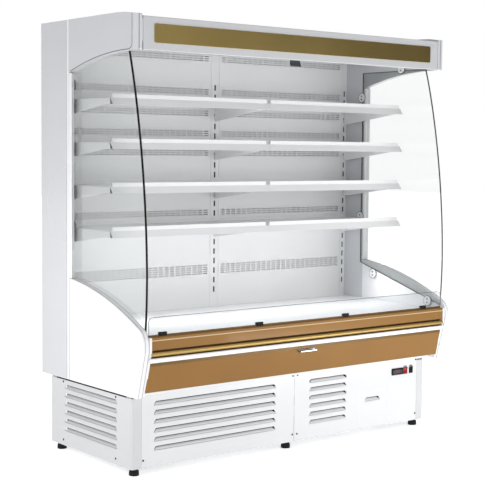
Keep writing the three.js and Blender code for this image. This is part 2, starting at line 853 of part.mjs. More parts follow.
/** Deck pan of the right bay with rows of return air slots along its front. */
function deckPan() {
  const y0 = tubFrontY + tubWall / 2;
  const y1 = backPanelY - seat;
  const x1 = innerX - seat;
  const pitch = (x1 - seat) / returnSlots;
  const slots = [];
  for (let row = 0; row < returnRows; row += 1) {
    const y = tubFrontY + tubWall + (row * 2 + 1) * returnSlotWidth;
    for (let i = 0; i < returnSlots; i += 1) {
      const x = seat + (i + 0.5) * pitch;
      slots.push(block(
        x - (pitch - returnWeb) / 2, x + (pitch - returnWeb) / 2, y, y + returnSlotWidth,
        deckTop - deckSheet - 1, deckTop + 1,
      ));
    }
  }
  return cut(block(seat, x1, y0, y1, deckTop - deckSheet, deckTop), ...slots);
}

/** Upper gold panel: a vertical face with folded top and bottom. */
function upperFrontPanel() {
  const t = frontSheet;
  const y = upperPanelY;
  const back = tubFrontY - seat;
  const shape = outline([
    [y, upperPanelZ],
    [back, upperPanelZ],
    [back, upperPanelZ + t],
    [y + t, upperPanelZ + t],
    [y + t, frontTop - t],
    [tubFrontY + tubWall / 2 - 2 * t, frontTop - t],
    [tubFrontY + tubWall / 2 - 2 * t, tubRim + seat],
    [tubFrontY + tubWall / 2 - t, tubRim + seat],
    [tubFrontY + tubWall / 2 - t, frontTop],
    [y, frontTop],
  ]);
  return alongX(shape, -frontHalf, frontHalf);
}

/** A rail with a rounded nose on a neck that reaches the tub. */
function roundedRail(nose, z0, z1, neckShare) {
  const radius = (z1 - z0) / 2;
  const middle = (z0 + z1) / 2;
  const neck = radius * neckShare;
  const back = tubFrontY - seat;
  const shape = new THREE.Shape();
  const run = radius * 0.8;
  shape.moveTo(back, middle + neck);
  shape.lineTo(nose + run + 3, middle + neck);
  shape.lineTo(nose + run + 3, z1);
  shape.lineTo(nose + run, z1);
  shape.absellipse(nose + run, middle, run, radius, Math.PI / 2, Math.PI * 1.5, false, 0);
  shape.lineTo(nose + run + 3, z0);
  shape.lineTo(nose + run + 3, middle - neck);
  shape.lineTo(back, middle - neck);
  return alongX(shape, -frontHalf, frontHalf);
}

/** Lower gold panel: a step under the bumper, then the slanted face and its toe fold. */
function lowerFrontPanel() {
  const t = frontSheet;
  const back = tubFrontY - seat;
  const shape = outline([
    [back, stepTop],
    [stepY, stepTop],
    [stepY, stepZ],
    [toeY, toeZ],
    [toeY + 3 * t, toeZ],
    [toeY + 3 * t, toeZ + t],
    [toeY + t * 1.2, toeZ + t],
    [stepY + t * 1.2, stepZ],
    [stepY + t, stepTop - t],
    [back, stepTop - t],
  ]);
  return alongX(shape, -frontHalf, frontHalf);
}

/** Catch that keeps the night blind down, screwed to the slanted gold panel. */
function blindCatch() {
  const slope = (toeY - stepY) / (stepZ - toeZ);
  const z1 = stepZ - catchDrop / 2;
  const faceY = (z) => stepY + (stepZ - z) * slope - seat * 1.2;
  const z0 = z1 - catchHeight;
  const shape = outline([
    [faceY(z0), z0],
    [faceY(z0) - 2, z0],
    [faceY(z0) - catchReach, z0 + 3],
    [faceY(z0) - catchReach, z0 + catchHeight / 2],
    [faceY(z0) - catchReach + 3, z0 + catchHeight / 2],
    [faceY(z0) - catchReach + 4, z0 + 6],
    [faceY(z1) - 3, z0 + 4],
    [faceY(z1) - 3, z1],
    [faceY(z1), z1],
  ]);
  return alongX(shape, catchX - catchWidth / 2, catchX + catchWidth / 2);
}

const riserY = upperPanelY + riserInset - riserThickness;

/** Clear riser standing on the gold front, with rounded upper corners. */
function riser() {
  const z0 = frontTop + riserChannel / 2;
  const half = riserLength / 2;
  const shape = new THREE.Shape();
  shape.moveTo(-half, z0);
  shape.lineTo(half, z0);
  shape.absarc(half - riserCorner, frontTop + riserHeight - riserCorner, riserCorner, 0, Math.PI / 2, false);
  const cornerZ = frontTop + riserHeight - riserCorner;
  shape.absarc(-half + riserCorner, cornerZ, riserCorner, Math.PI / 2, Math.PI, false);
  return alongY(shape, riserY, riserY + riserThickness);
}

/** Channel that holds the riser, with its four raised clips. */
function riserHolder() {
  const z0 = frontTop + seat;
  const y0 = riserY - seat;
  const y1 = riserY + riserThickness + seat;
  const t = riserChannel / 3;
  const channel = (wallTop) => outline([
    [y0 - t, z0],
    [y1 + t, z0],
    [y1 + t, wallTop],
    [y1, wallTop],
    [y1, frontTop + riserChannel / 2 - seat],
    [y0, frontTop + riserChannel / 2 - seat],
    [y0, wallTop],
    [y0 - t, wallTop],
  ]);
  const half = riserLength / 2;
  const strip = alongX(channel(z0 + riserChannel), -half, half);
  const reach = half - clipEnd;
  const clips = [];
  for (let i = 0; i < clipCount; i += 1) {
    const x = clipShift - reach + i * 2 * reach / (clipCount - 1);
    clips.push(alongX(channel(z0 + clipHeight), x - clipWidth / 2, x + clipWidth / 2));
  }
  return join(strip, ...clips);
}

/** Side glass with its bowed front edge. */
function sideGlass() {
  const front = new THREE.CubicBezierCurve(
    new THREE.Vector2(glassTopFrontY, glassTopZ),
    new THREE.Vector2(glassTopFrontY + glassBowTop[0], glassTopZ + glassBowTop[1]),
    new THREE.Vector2(glassToeY + glassBowToe[0], glassToeZ + glassBowToe[1]),
    new THREE.Vector2(glassToeY, glassToeZ),
  ).getPoints(16).map((p) => [p.x, p.y]);
  const shape = outline([...front, [glassRearY, glassRearZ], [glassRearY, glassTopZ]]);
  return alongX(shape, innerX - seat - glassThickness, innerX - seat);
}

// ---------------------------------------------------------------- night blind

// the blind leaves the front flat of the roller, which has as many sides as every round bar
const rollerY = blindY + blindThickness / 2 + seat + rollerRadius * Math.cos(Math.PI / roundSides);

/** Tubular cassette with a mouth below and in front, where the blind comes out. */
function blindCassette() {
  const shape = new THREE.Shape();
  const inner = cassetteRadius - cassetteWall;
  const mouth = Math.PI + Math.acos((rollerY - blindY) / (cassetteRadius - cassetteWall / 2));
  const gape = cassetteMouth / 2 / cassetteRadius;
  const gapeIn = cassetteMouth / 2 / inner;
  shape.absarc(rollerY, cassetteZ, cassetteRadius, mouth + gape, mouth - gape + 2 * Math.PI, false);
  shape.absarc(rollerY, cassetteZ, inner, mouth - gapeIn + 2 * Math.PI, mouth + gapeIn, true);
  const tube = alongX(shape, -innerX + seat, innerX - seat);
  const cheek = (x) => cut(
    bar('x', [x, rollerY, cassetteZ], cassetteRadius - 1, canopySheet),
    bar('x', [x, rollerY, cassetteZ], rollerPin + seat, 2 * canopySheet),
  );
  const x = innerX - seat - canopySheet / 2;
  return join(tube, cheek(-x), cheek(x));
}

/** Spring roller with the rolled blind on it, turning on its two pins. */
function blindRoller() {
  const drum = bar('x', [0, rollerY, cassetteZ], rollerRadius, blindLength);
  const pins = bar('x', [0, rollerY, cassetteZ], rollerPin, 2 * (innerX - seat) - canopySheet);
  return join(drum, pins);
}

/** Short free end of the blind between the cassette and the pull bar. */
function blindFabric() {
  return block(
    -blindLength / 2, blindLength / 2, blindY - blindThickness / 2, blindY + blindThickness / 2,
    blindBarTopZ + seat, cassetteZ,
  );
}

/** Pull bar with its grip. */
function blindBar() {
  const z1 = blindBarTopZ;
  const z0 = z1 - blindBarHeight;
  const d = blindBarDepth / 2;
  const profile = roundedRectangle(blindY - d, blindY + d, z0, z1, d * 0.6);
  const beam = alongX(profile, -blindLength / 2, blindLength / 2);
  const grip = outline([
    [blindY - 2, z0 + 2],
    [blindY - 2, z0 - handleDrop + 6],
    [blindY - 9, z0 - handleDrop],
    [blindY - 6, z0 - handleDrop - 2],
    [blindY + 3, z0 - handleDrop + 5],
    [blindY + 3, z0 + 2],
  ]);
  return join(beam, alongX(grip, blindX - handleWidth / 2, blindX + handleWidth / 2));
}

// ---------------------------------------------------------------- base

/**
 * One lanced louvre that runs along an axis: its trapezoid opening, and the blade that is hinged
 * on the lower edge and leans inwards. The panel's outer face lies at face, and inwards is 1 or -1.
 */
function louvre(axis, face, inwards, u0, u1, z0) {
  const z1 = z0 + louvreHeight;
  const t = baseSheet;
  const near = Math.min(face - inwards, face + inwards * (t + 1));
  const far = Math.max(face - inwards, face + inwards * (t + 1));
  const hole = { x: alongY, y: alongX }[axis](outline([
    [u0, z0],
    [u1, z0],
    [u1 - louvreTaper, z1],
    [u0 + louvreTaper, z1],
  ]), near, far);
  const profile = outline([
    [face, z0 - t],
    [face + inwards * t, z0 - t],
    [face + inwards * t, z0],
    [face + inwards * (louvreReach + t), z1 - louvreSlit],
    [face + inwards * louvreReach, z1 - louvreSlit],
    [face, z0],
  ]);
  const inset = (v) => louvreSlit + louvreTaper * Math.max(0, v - z0) / louvreHeight;
  const middle = (u1 - u0) / 2;
  const rule = {
    x: (u, v, w) => [w > middle ? u1 - inset(v) : u0 + inset(v), u, v],
    y: (u, v, w) => [u, w > middle ? u0 + inset(v) : u1 - inset(v), v],
  }[axis];
  return { hole, blade: solid(remapped(extruded(profile, u1 - u0), rule)) };
}

/** Cuts a column of louvres in a panel. */
function withLouvres(panel, axis, face, inwards, u0, u1) {
  const rows = Array.from({ length: louvreCount }, (_, i) => (
    louvre(axis, face, inwards, u0, u1, topLouvreZ - louvreHeight - i * louvrePitch)
  ));
  return join(cut(panel, ...rows.map((row) => row.hole)), ...rows.map((row) => row.blade));
}

/** Left front panel of the base. */
function baseFrontLeft() {
  const x0 = -baseHalfWidth + wrapWidth + seat;
  const plate = block(x0, baseSeamX - seat, baseFrontY, baseFrontY + baseSheet, footHeight, baseTop - seat);
  return withLouvres(
    plate, 'x', baseFrontY, 1, -baseHalfWidth + leftLouvreEnd, baseSeamX - leftLouvreSeam,
  );
}

/** Places of the switches along the control row. */
function switchPlace(index) {
  const redX = controlX + controllerWidth / 2 + switchGap + switchRed / 2;
  const blackX = redX + switchRed / 2 + switchSpace + switchBlack / 2;
  return index === 0 ? { x: redX, w: switchRed } : { x: blackX, w: switchBlack };
}

/** Raised frame that carries a rocker on two pin holes. */
function rockerSocket(index) {
  const { x, w } = switchPlace(index);
  const hw = w / 2 + seat;
  const hh = switchHeight / 2 + seat;
  const y0 = baseFrontY - rockerFrame;
  const y1 = baseFrontY + rockerDepth;
  const f = rockerFrame;
  const frame = cut(
    block(x - hw - f, x + hw + f, y0, y1, controlZ - hh - f, controlZ + hh + f),
    block(x - hw, x + hw, y0 - 1, y1 + 1, controlZ - hh, controlZ + hh),
    bar('x', [x, baseFrontY + rockerDepth / 2, controlZ], rockerPin + seat, w + 6 * f, 12),
  );
  const hole = block(x - hw, x + hw, y0 - 1, y1 + 1, controlZ - hh, controlZ + hh);
  return { frame, hole };
}

function rocker(index) {
  const { x, w } = switchPlace(index);
  const pivotY = baseFrontY + rockerDepth / 2;
  const hh = switchHeight / 2;
  const face = baseFrontY - rockerFrame;
  const lift = hh * Math.tan(THREE.MathUtils.degToRad(9));
  const shape = outline([
    [face - lift, controlZ - hh + 2],
    [face + 1, controlZ],
    [face + 1 + lift * 0.2, controlZ + hh - 2],
    [pivotY, controlZ + hh - 2],
    [pivotY + 3, controlZ],
    [pivotY, controlZ - hh + 2],
  ]);
  const cap = alongX(shape, x - w / 2, x + w / 2);
  const pin = bar('x', [x, pivotY, controlZ], rockerPin, w + rockerFrame, 12);
  return join(cap, pin);
}

/** Right front panel of the base with louvres, tray opening, controller and switch places. */
function baseFrontRight() {
  const x1 = baseHalfWidth - wrapWidth - seat;
  const plate = block(baseSeamX + seat, x1, baseFrontY, baseFrontY + baseSheet, footHeight, baseTop - seat);
  const tray = block(
    trayX - seat, trayX + trayFrontWidth + seat, baseFrontY - 1, baseFrontY + baseSheet + 1,
    footHeight - 1, footHeight + trayFrontHeight + seat,
  );
  const b = controllerBezel;
  const hw = controllerWidth / 2 - b;
  const hh = controllerHeight / 2 - b;
  const window = block(
    controlX - hw, controlX + hw, baseFrontY - 1, baseFrontY + baseSheet + 1, controlZ - hh, controlZ + hh,
  );
  const sockets = [rockerSocket(0), rockerSocket(1)];
  const open = cut(plate, tray, window, ...sockets.map((s) => s.hole));
  const vented = withLouvres(
    open, 'x', baseFrontY, 1, baseSeamX + rightLouvreSeam, trayX - rightLouvreTray,
  );
  return join(vented, ...sockets.map((s) => s.frame));
}

/** Side panel of the base, folded round the front corner and at the rear. */
function baseSidePanel() {
  const t = baseSheet;
  const x = baseHalfWidth;
  const r = wrapRadius;
  const plan = new THREE.Shape();
  plan.moveTo(x - wrapWidth, baseFrontY);
  plan.absarc(x - r, baseFrontY + r, r, -Math.PI / 2, 0, false);
  plan.lineTo(x, baseBackY);
  plan.lineTo(x - rearFold, baseBackY);
  plan.lineTo(x - rearFold, baseBackY - t);
  plan.lineTo(x - t, baseBackY - t);
  plan.absarc(x - r, baseFrontY + r, r - t, 0, -Math.PI / 2, true);
  plan.lineTo(x - wrapWidth, baseFrontY + t);
  const sheet = alongZ(plan, footHeight, baseTop - seat);
  return withLouvres(sheet, 'y', x, -1, baseFrontY + sideLouvreFront, baseBackY - sideLouvreBack);
}

/** Welded frame: bottom ring, cross bar, posts and the tray for the condensing unit. */
function baseFrame() {
  const gap = baseSheet + seat;
  const x1 = baseHalfWidth - gap;
  const y0 = baseFrontY + rockerDepth + seat;
  const y1 = baseBackY - gap;
  const z0 = footHeight;
  const z1 = z0 + frameBar;
  const top = baseTop - seat;
  const ring = cut(
    block(-x1, x1, y0, y1, z0, z1),
    block(-x1 + frameBar, x1 - frameBar, y0 + frameBar, y1 - frameBar, z0 - 1, z1 + 1),
  );
  const trayGate = block(
    trayX + traySheet, trayX + trayFrontWidth - traySheet, y0 - 1, y0 + frameBar + 1,
    z0 + frameBar / 4, z1 + 1,
  );
  const cross = block(-frameBar / 2, frameBar / 2, y0 + 1, y1 - 1, z0, z1);
  const posts = [];
  [-1, 1].forEach((side) => {
    const a = side * (x1 - frameBar / 2);
    [y0 + frameBar / 2, y1 - frameBar / 2].forEach((y) => {
      posts.push(block(a - frameBar / 2, a + frameBar / 2, y - frameBar / 2, y + frameBar / 2, z0 + 1, top));
    });
  });
  [y0 + frameBar / 2, y1 - frameBar / 2].forEach((y) => {
    posts.push(block(-frameBar / 2, frameBar / 2, y - frameBar / 2, y + frameBar / 2, z0 + 1, top));
  });
  const unitTray = block(unitTrayX, unitTrayRight, y0 + 1, y1 - 1, z1, z1 + unitTraySheet);
  return join(cut(ring, trayGate), cross, ...posts, unitTray);
}

/** Levelling foot with its stud head under the frame. */
function foot(x, y) {
  const top = footHeight - seat;
  const profile = [
    [0, 0], [footRadius, 0], [footRadius, footPadHeight * 0.6], [footRadius * 0.8, footPadHeight],
    [footStudRadius, footPadHeight], [footStudRadius, top], [0, top],
  ].map(([r, z]) => new THREE.Vector2(r, z));
  const geometry = new THREE.LatheGeometry(profile, 12);
  geometry.rotateX(Math.PI / 2);
  geometry.translate(x, y, 0);
  return solid(geometry);
}

/** Condensate tray: a drawer front with a lanced finger grip and an open pan behind it. */
function condensateTray() {
  const t = traySheet;
  const x0 = trayX;
  const x1 = trayX + trayFrontWidth;
  const y0 = baseFrontY;
  const z1 = footHeight + trayFrontHeight;
  const front = block(x0, x1, y0, y0 + t, footHeight, z1);
  const gx = (x0 + x1) / 2;
  const lance = louvre(
    'x', y0, 1, gx - trayGripWidth / 2, gx + trayGripWidth / 2, trayGripZ - louvreHeight,
  );
  const floor = footHeight + frameBar / 4 + seat;
  const inset = 2 * traySheet + seat;
  const pan = cut(
    block(x0 + inset, x1 - inset, y0 + 1, y0 + trayDepth, floor, floor + trayWallHeight),
    block(
      x0 + inset + t, x1 - inset - t, y0 + t + 1, y0 + trayDepth - t,
      floor + t, floor + trayWallHeight + 1,
    ),
  );
  return join(cut(front, lance.hole), lance.blade, pan);
}

/** Controller: bezel on the panel, body behind it, two key wells. */
function controller() {
  const hw = controllerWidth / 2;
  const hh = controllerHeight / 2;
  const b = controllerBezel + seat;
  const bezel = alongY(
    roundedRectangle(controlX - hw, controlX + hw, controlZ - hh, controlZ + hh, 3),
    baseFrontY - seat - 5, baseFrontY - seat,
  );
  const body = block(
    controlX - hw + b, controlX + hw - b, baseFrontY - 1, baseFrontY + controllerDepth,
    controlZ - hh + b, controlZ + hh - b,
  );
  const wells = [-1, 1].map((side) => keyBlock(side, seat, keyLength + 2));
  return cut(join(bezel, body), ...wells);
}

function keyBlock(side, grow, length) {
  const x = controlX + side * (controllerWidth / 2 - keyInset - keyWidth / 2);
  const face = baseFrontY - seat - 5 - keyProud;
  const w = keyWidth / 2 + grow;
  const h = keyHeight / 2 + grow;
  return block(x - w, x + w, face - (grow ? 1 : 0), face + length, controlZ - h, controlZ + h);
}

// ---------------------------------------------------------------- refrigeration

/** Hermetic compressor: a domed pot on a foot plate, with a bent discharge pipe. */
function compressor() {
  const z0 = footHeight + frameBar + unitTraySheet + seat;
  const r = compressorRadius;
  const h = compressorHeight;
  const profile = [[0, z0], [r * 0.8, z0], [r, z0 + r * 0.3], [r, z0 + h * 0.45], [r * 1.05, z0 + h * 0.48]]
    .concat([[r * 1.05, z0 + h * 0.53], [r, z0 + h * 0.56]])
    .concat([[r * 0.96, z0 + h * 0.75], [r * 0.7, z0 + h * 0.94]])
    .concat([[r * 0.3, z0 + h], [0, z0 + h]])
    .map(([radius, z]) => new THREE.Vector2(radius, z));
  const pot = new THREE.LatheGeometry(profile, roundSides);
  pot.rotateX(Math.PI / 2);
  pot.translate(compressorX, compressorY, 0);
  const plate = block(
    compressorX - r * 1.15, compressorX + r * 1.15, compressorY - r * 0.9, compressorY + r * 0.9, z0, z0 + 6,
  );
  const path = new THREE.CatmullRomCurve3([
    new THREE.Vector3(compressorX - r * 0.9, compressorY, z0 + h * 0.7),
    new THREE.Vector3(compressorX - r * 1.25, compressorY, z0 + h * 0.75),
    new THREE.Vector3(compressorX - r * 1.35, compressorY, z0 + h * 0.9),
    new THREE.Vector3(compressorX - r * 1.35, compressorY, z0 + h * 1.15),
  ]);
  const section = new THREE.Shape();
  section.absarc(0, 0, coilTube, 0, Math.PI * 2, false);
  const pipe = new THREE.ExtrudeGeometry(section, { steps: 8, curveSegments: 3, extrudePath: path });
  return join(solid(pot), plate, solid(pipe));
}

/** Finned coil: end plates, fins and the tubes that run through them. */
function finnedCoil(x, y, z0, length, coilDepth, coilHeight, fins, rows) {
  const parts = [];
  for (let i = 0; i < fins; i += 1) {
    const at = x - length / 2 + (length - finSheet) * i / (fins - 1);
    const edge = i === 0 || i === fins - 1 ? 0 : footBar / 2;
    parts.push(block(at, at + finSheet, y - coilDepth / 2, y + coilDepth / 2, z0 + edge, z0 + coilHeight));
  }
  for (let row = 0; row < rows; row += 1) {
    const z = z0 + coilHeight * (row + 0.5) / rows;
    parts.push(bar('x', [x, y + (row % 2 ? 0.2 : -0.2) * coilDepth, z], coilTube, length + 6 * coilTube, 6));
  }
  return join(...parts);
}

/** Fan motor on a strut, with a foot bar that runs to the coil's ground bar at tieY. */
function fanMotor(x, y, z, ground, tieY) {
  const half = footBar / 2;
  const motor = bar('y', [x, y, z], motorRadius, motorLength);
  const strut = block(x - half, x + half, y - half / 3, y + half / 3, ground, z);
  const tie = block(
    x - half + 1, x + half - 1, Math.min(y, tieY), Math.max(y, tieY), ground + 1, ground + 5,
  );
  return join(motor, strut, tie);
}

/** Bar along the foot of a coil that carries the motor's foot bars. */
function groundBar(x, y, ground, length) {
  const half = length / 2 - finSheet / 2;
  return block(x - half, x + half, y - footBar / 3, y + footBar / 3, ground + 2, ground + 6);
}

const condenserZ = footHeight + frameBar + unitTraySheet + seat;
const condenserFanY = condenserY + condenserDepth / 2 + 25;
const condenserMotorY = condenserFanY + hubLength / 2 + fanGap + motorLength / 2;

function condenser() {
  const z = condenserZ + condenserHeight / 2;
  return join(
    finnedCoil(
      condenserX, condenserY, condenserZ, condenserWidth, condenserDepth, condenserHeight,
      condenserFins, condenserRows,
    ),
    groundBar(condenserX, condenserY, condenserZ, condenserWidth),
    fanMotor(condenserX, condenserMotorY, z, condenserZ, condenserY),
  );
}

const evaporatorZ = tubFloor + seat;
const evaporatorFanY = evaporatorY - evaporatorDepth / 2 - evaporatorFanInset;
const evaporatorMotorY = evaporatorFanY - hubLength / 2 - fanGap - motorLength / 2;

function evaporator() {
  const z = evaporatorZ + evaporatorHeight / 2;
  const motors = [-1, 1].map((side) => fanMotor(
    side * evaporatorFanX, evaporatorMotorY, z, evaporatorZ, evaporatorY,
  ));
  return join(
    finnedCoil(
      0, evaporatorY, evaporatorZ, evaporatorLength, evaporatorDepth, evaporatorHeight,
      evaporatorFins, evaporatorRows,
    ),
    groundBar(0, evaporatorY, evaporatorZ, evaporatorLength),
    ...motors,
  );
}

/** Axial fan rotor: a hub and pitched blades round the Y axis. */
function fanRotor(x, y, z, radius) {
  const parts = [bar('y', [0, 0, 0], hubRadius, hubLength)];
  for (let i = 0; i < bladeCount; i += 1) {
    const shape = outline([
      [hubRadius * 0.7, -hubRadius * 0.45],
      [radius * 0.96, -radius * 0.3],
      [radius, 0],
      [radius * 0.94, radius * 0.26],
      [hubRadius * 0.7, hubRadius * 0.3],
    ]);
    const geometry = extruded(shape, bladeSheet);
    geometry.translate(0, 0, -bladeSheet / 2);
    geometry.rotateX(Math.PI / 2 + bladePitch);
    geometry.rotateY(i * 2 * Math.PI / bladeCount);
    parts.push(solid(geometry));
  }
  return join(...parts).translate([x, y, z]);
}

// ---------------------------------------------------------------- assembly

place('insulated_body', insulatedBody(), 'whitePaint');
place('side_wall_right', sideWall(), 'greyPaint');
place('side_wall_left', mirrored(sideWall()), 'greyPaint');
place('lower_side_panel_right', lowerSidePanel(), 'whitePaint');
place('lower_side_panel_left', mirrored(lowerSidePanel()), 'whitePaint');
place('end_cap_right', endCap(), 'greyPaint');
place('end_cap_left', mirrored(endCap()), 'greyPaint');
place('canopy_housing', canopyHousing(), 'whitePaint');
place('canopy_gold_strip', goldStrip(), 'strip');
place('canopy_lamp', canopyLamp(), 'lamp');
place('ceiling_air_panel', ceilingPanel(), 'whitePaint');
place('blind_cassette', blindCassette(), 'aluminium');
place('blind_roller', blindRoller(), 'fabric');
place('blind_fabric', blindFabric(), 'fabric');
place('blind_pull_bar', blindBar(), 'aluminium');
place('upright_middle', middleUpright(), 'whitePaint');
place('back_panel_right', backPanel(), 'whitePaint');
place('back_panel_left', mirrored(backPanel()), 'whitePaint');
for (let level = 0; level < shelfLevels; level += 1) {
  place(`shelf_right_${level + 1}`, shelf(level), 'whitePaint');
  place(`shelf_left_${level + 1}`, mirrored(shelf(level)), 'whitePaint');
}
place('deck_pan_right', deckPan(), 'whitePaint');
place('deck_pan_left', mirrored(deckPan()), 'whitePaint');
place('front_panel_upper', upperFrontPanel(), 'gold');
place('front_rail', roundedRail(frontY + railInset, railTop - railHeight, railTop, 0.5), 'rail');
place('front_bumper', roundedRail(frontY, bumperTop - bumperHeight + seat, bumperTop, 0.5), 'whitePaint');
place('front_panel_lower', lowerFrontPanel(), 'gold');
place('blind_catch', blindCatch(), 'steel');
place('riser_glass', riser(), 'glass');
place('riser_holder', riserHolder(), 'black');
place('side_glass_right', sideGlass(), 'glass');
place('side_glass_left', mirrored(sideGlass()), 'glass');
place('base_frame', baseFrame(), 'steel');
place('base_side_panel_right', baseSidePanel(), 'whitePaint');
place('base_side_panel_left', mirrored(baseSidePanel()), 'whitePaint');
place('base_front_panel_left', baseFrontLeft(), 'whitePaint');
place('base_front_panel_right', baseFrontRight(), 'whitePaint');
place('condensate_tray', condensateTray(), 'whitePaint');
place('controller', controller(), 'black');
place('controller_key_left', keyBlock(-1, 0, keyLength), 'black');
place('controller_key_right', keyBlock(1, 0, keyLength), 'black');
place('main_switch', rocker(0), 'red');
place('light_switch', rocker(1), 'black');
[['left', -footX], ['middle', 0], ['right', footX]].forEach(([name, x]) => {
  place(`foot_front_${name}`, foot(x, footFrontY), 'black');
  place(`foot_rear_${name}`, foot(x, footRearY), 'black');
});
place('compressor', compressor(), 'black');
place('condenser_coil', condenser(), 'aluminium');
const condenserMidZ = condenserZ + condenserHeight / 2;
place(
  'condenser_fan',
  fanRotor(condenserX, condenserFanY, condenserMidZ, condenserFanRadius),
  'black',
);
place('evaporator_coil', evaporator(), 'aluminium');
[['left', -1], ['right', 1]].forEach(([name, side]) => {
  const z = evaporatorZ + evaporatorHeight / 2;
  const rotor = fanRotor(side * evaporatorFanX, evaporatorFanY, z, evaporatorFanRadius);
  place(`evaporator_fan_${name}`, rotor, 'black');
});

export default group;
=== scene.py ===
"""Open multideck display fridge, dressed over its CAD frame.

The fridge's own sizes are in millimetres, the studio's are in metres, and every finished
mesh is in metres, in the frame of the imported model: +X along the shelves, -Y towards the
customer, +Z up, floor at z = 0.
"""

import logging
import math
from dataclasses import dataclass
from enum import Enum
from typing import Callable, Iterable, Sequence

import bmesh
import bpy
from mathutils import Matrix, Vector

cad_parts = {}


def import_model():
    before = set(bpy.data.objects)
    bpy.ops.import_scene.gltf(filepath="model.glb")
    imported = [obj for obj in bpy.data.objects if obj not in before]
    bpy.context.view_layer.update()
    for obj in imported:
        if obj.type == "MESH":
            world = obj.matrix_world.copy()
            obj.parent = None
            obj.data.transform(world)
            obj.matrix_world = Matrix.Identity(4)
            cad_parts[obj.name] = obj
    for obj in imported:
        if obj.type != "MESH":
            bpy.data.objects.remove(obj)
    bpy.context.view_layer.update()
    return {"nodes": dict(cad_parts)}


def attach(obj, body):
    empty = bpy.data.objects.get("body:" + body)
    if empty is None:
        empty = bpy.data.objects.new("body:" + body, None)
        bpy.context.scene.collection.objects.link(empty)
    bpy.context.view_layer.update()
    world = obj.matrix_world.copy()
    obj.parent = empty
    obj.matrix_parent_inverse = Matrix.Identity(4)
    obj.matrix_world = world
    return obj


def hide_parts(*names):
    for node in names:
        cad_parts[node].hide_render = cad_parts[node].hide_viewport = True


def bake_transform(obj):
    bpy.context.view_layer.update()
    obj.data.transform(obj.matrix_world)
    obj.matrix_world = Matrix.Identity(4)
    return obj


log = logging.getLogger("display_fridge")

MM = 0.001
CABINET = "cabinet"
FLAT = 5.0  # an edge limit in degrees that leaves every face flat

Mesh = bmesh.types.BMesh
Node = bpy.types.Node
Tree = bpy.types.NodeTree
ops = bmesh.ops
Point2 = tuple[float, float]
Point3 = tuple[float, float, float]


class Side(Enum):
    """Which end of the cabinet a handed piece belongs to."""

    RIGHT = 1
    LEFT = -1

    @property
    def word(self) -> str:
        """Lower-case word used in piece names."""
        return self.name.lower()


class Axis(Enum):
    """A row axis, with the two axes that its outlines are drawn in."""

    X = (0, 1, 2)
    Y = (1, 0, 2)
    Z = (2, 0, 1)


# ---------------------------------------- shared shader effects


def add_node(
    tree: Tree, kind: str, values: dict[str | int, object] | None = None, **settings: object,
) -> Node:
    """Adds a node to a tree.

    Args:
        tree: The tree.
        kind: Blender's node type.
        values: Defaults of its input sockets.
        settings: Properties of the node, which are set first.

    Returns:
        The new node.
    """
    node = tree.nodes.new(kind)
    for key, value in settings.items():
        setattr(node, key, value)
    for key, value in (values or {}).items():
        node.inputs[key].default_value = value
    return node


def wire(tree: Tree, *wires: tuple[Node, str | int, Node, str | int]) -> None:
    """Links sockets."""
    for source, output, target, entry in wires:
        tree.links.new(source.outputs[output], target.inputs[entry])


class NodeGroup:
    """Writes one shader node group, which reads a vector and puts out one value."""

    def __init__(self, name: str, output: str, **values: float) -> None:
        """Starts an empty group.

        Args:
            name: Name of the group.
            output: Name of its output.
            values: Its value inputs and their defaults.
        """
        self.tree = bpy.data.node_groups.new(name, "ShaderNodeTree")
        self.inputs = self.tree.nodes.new("NodeGroupInput")
        self.outputs = self.tree.nodes.new("NodeGroupOutput")
        socket = self.tree.interface.new_socket
        socket("Vector", in_out="INPUT", socket_type="NodeSocketVector")
        for key, value in values.items():
            socket(key, in_out="INPUT", socket_type="NodeSocketFloat").default_value = value
        socket(output, in_out="OUTPUT", socket_type="NodeSocketFloat")

    def node(self, kind: str, values: dict[str, float] | None = None, **settings: object) -> Node:
        """Adds a node to the group."""
        return add_node(self.tree, kind, values, **settings)

    def wired(self, *wires: tuple[Node, str | int, Node, str | int]) -> Tree:
        """Links the nodes and hands the group out."""
        wire(self.tree, *wires)
        return self.tree


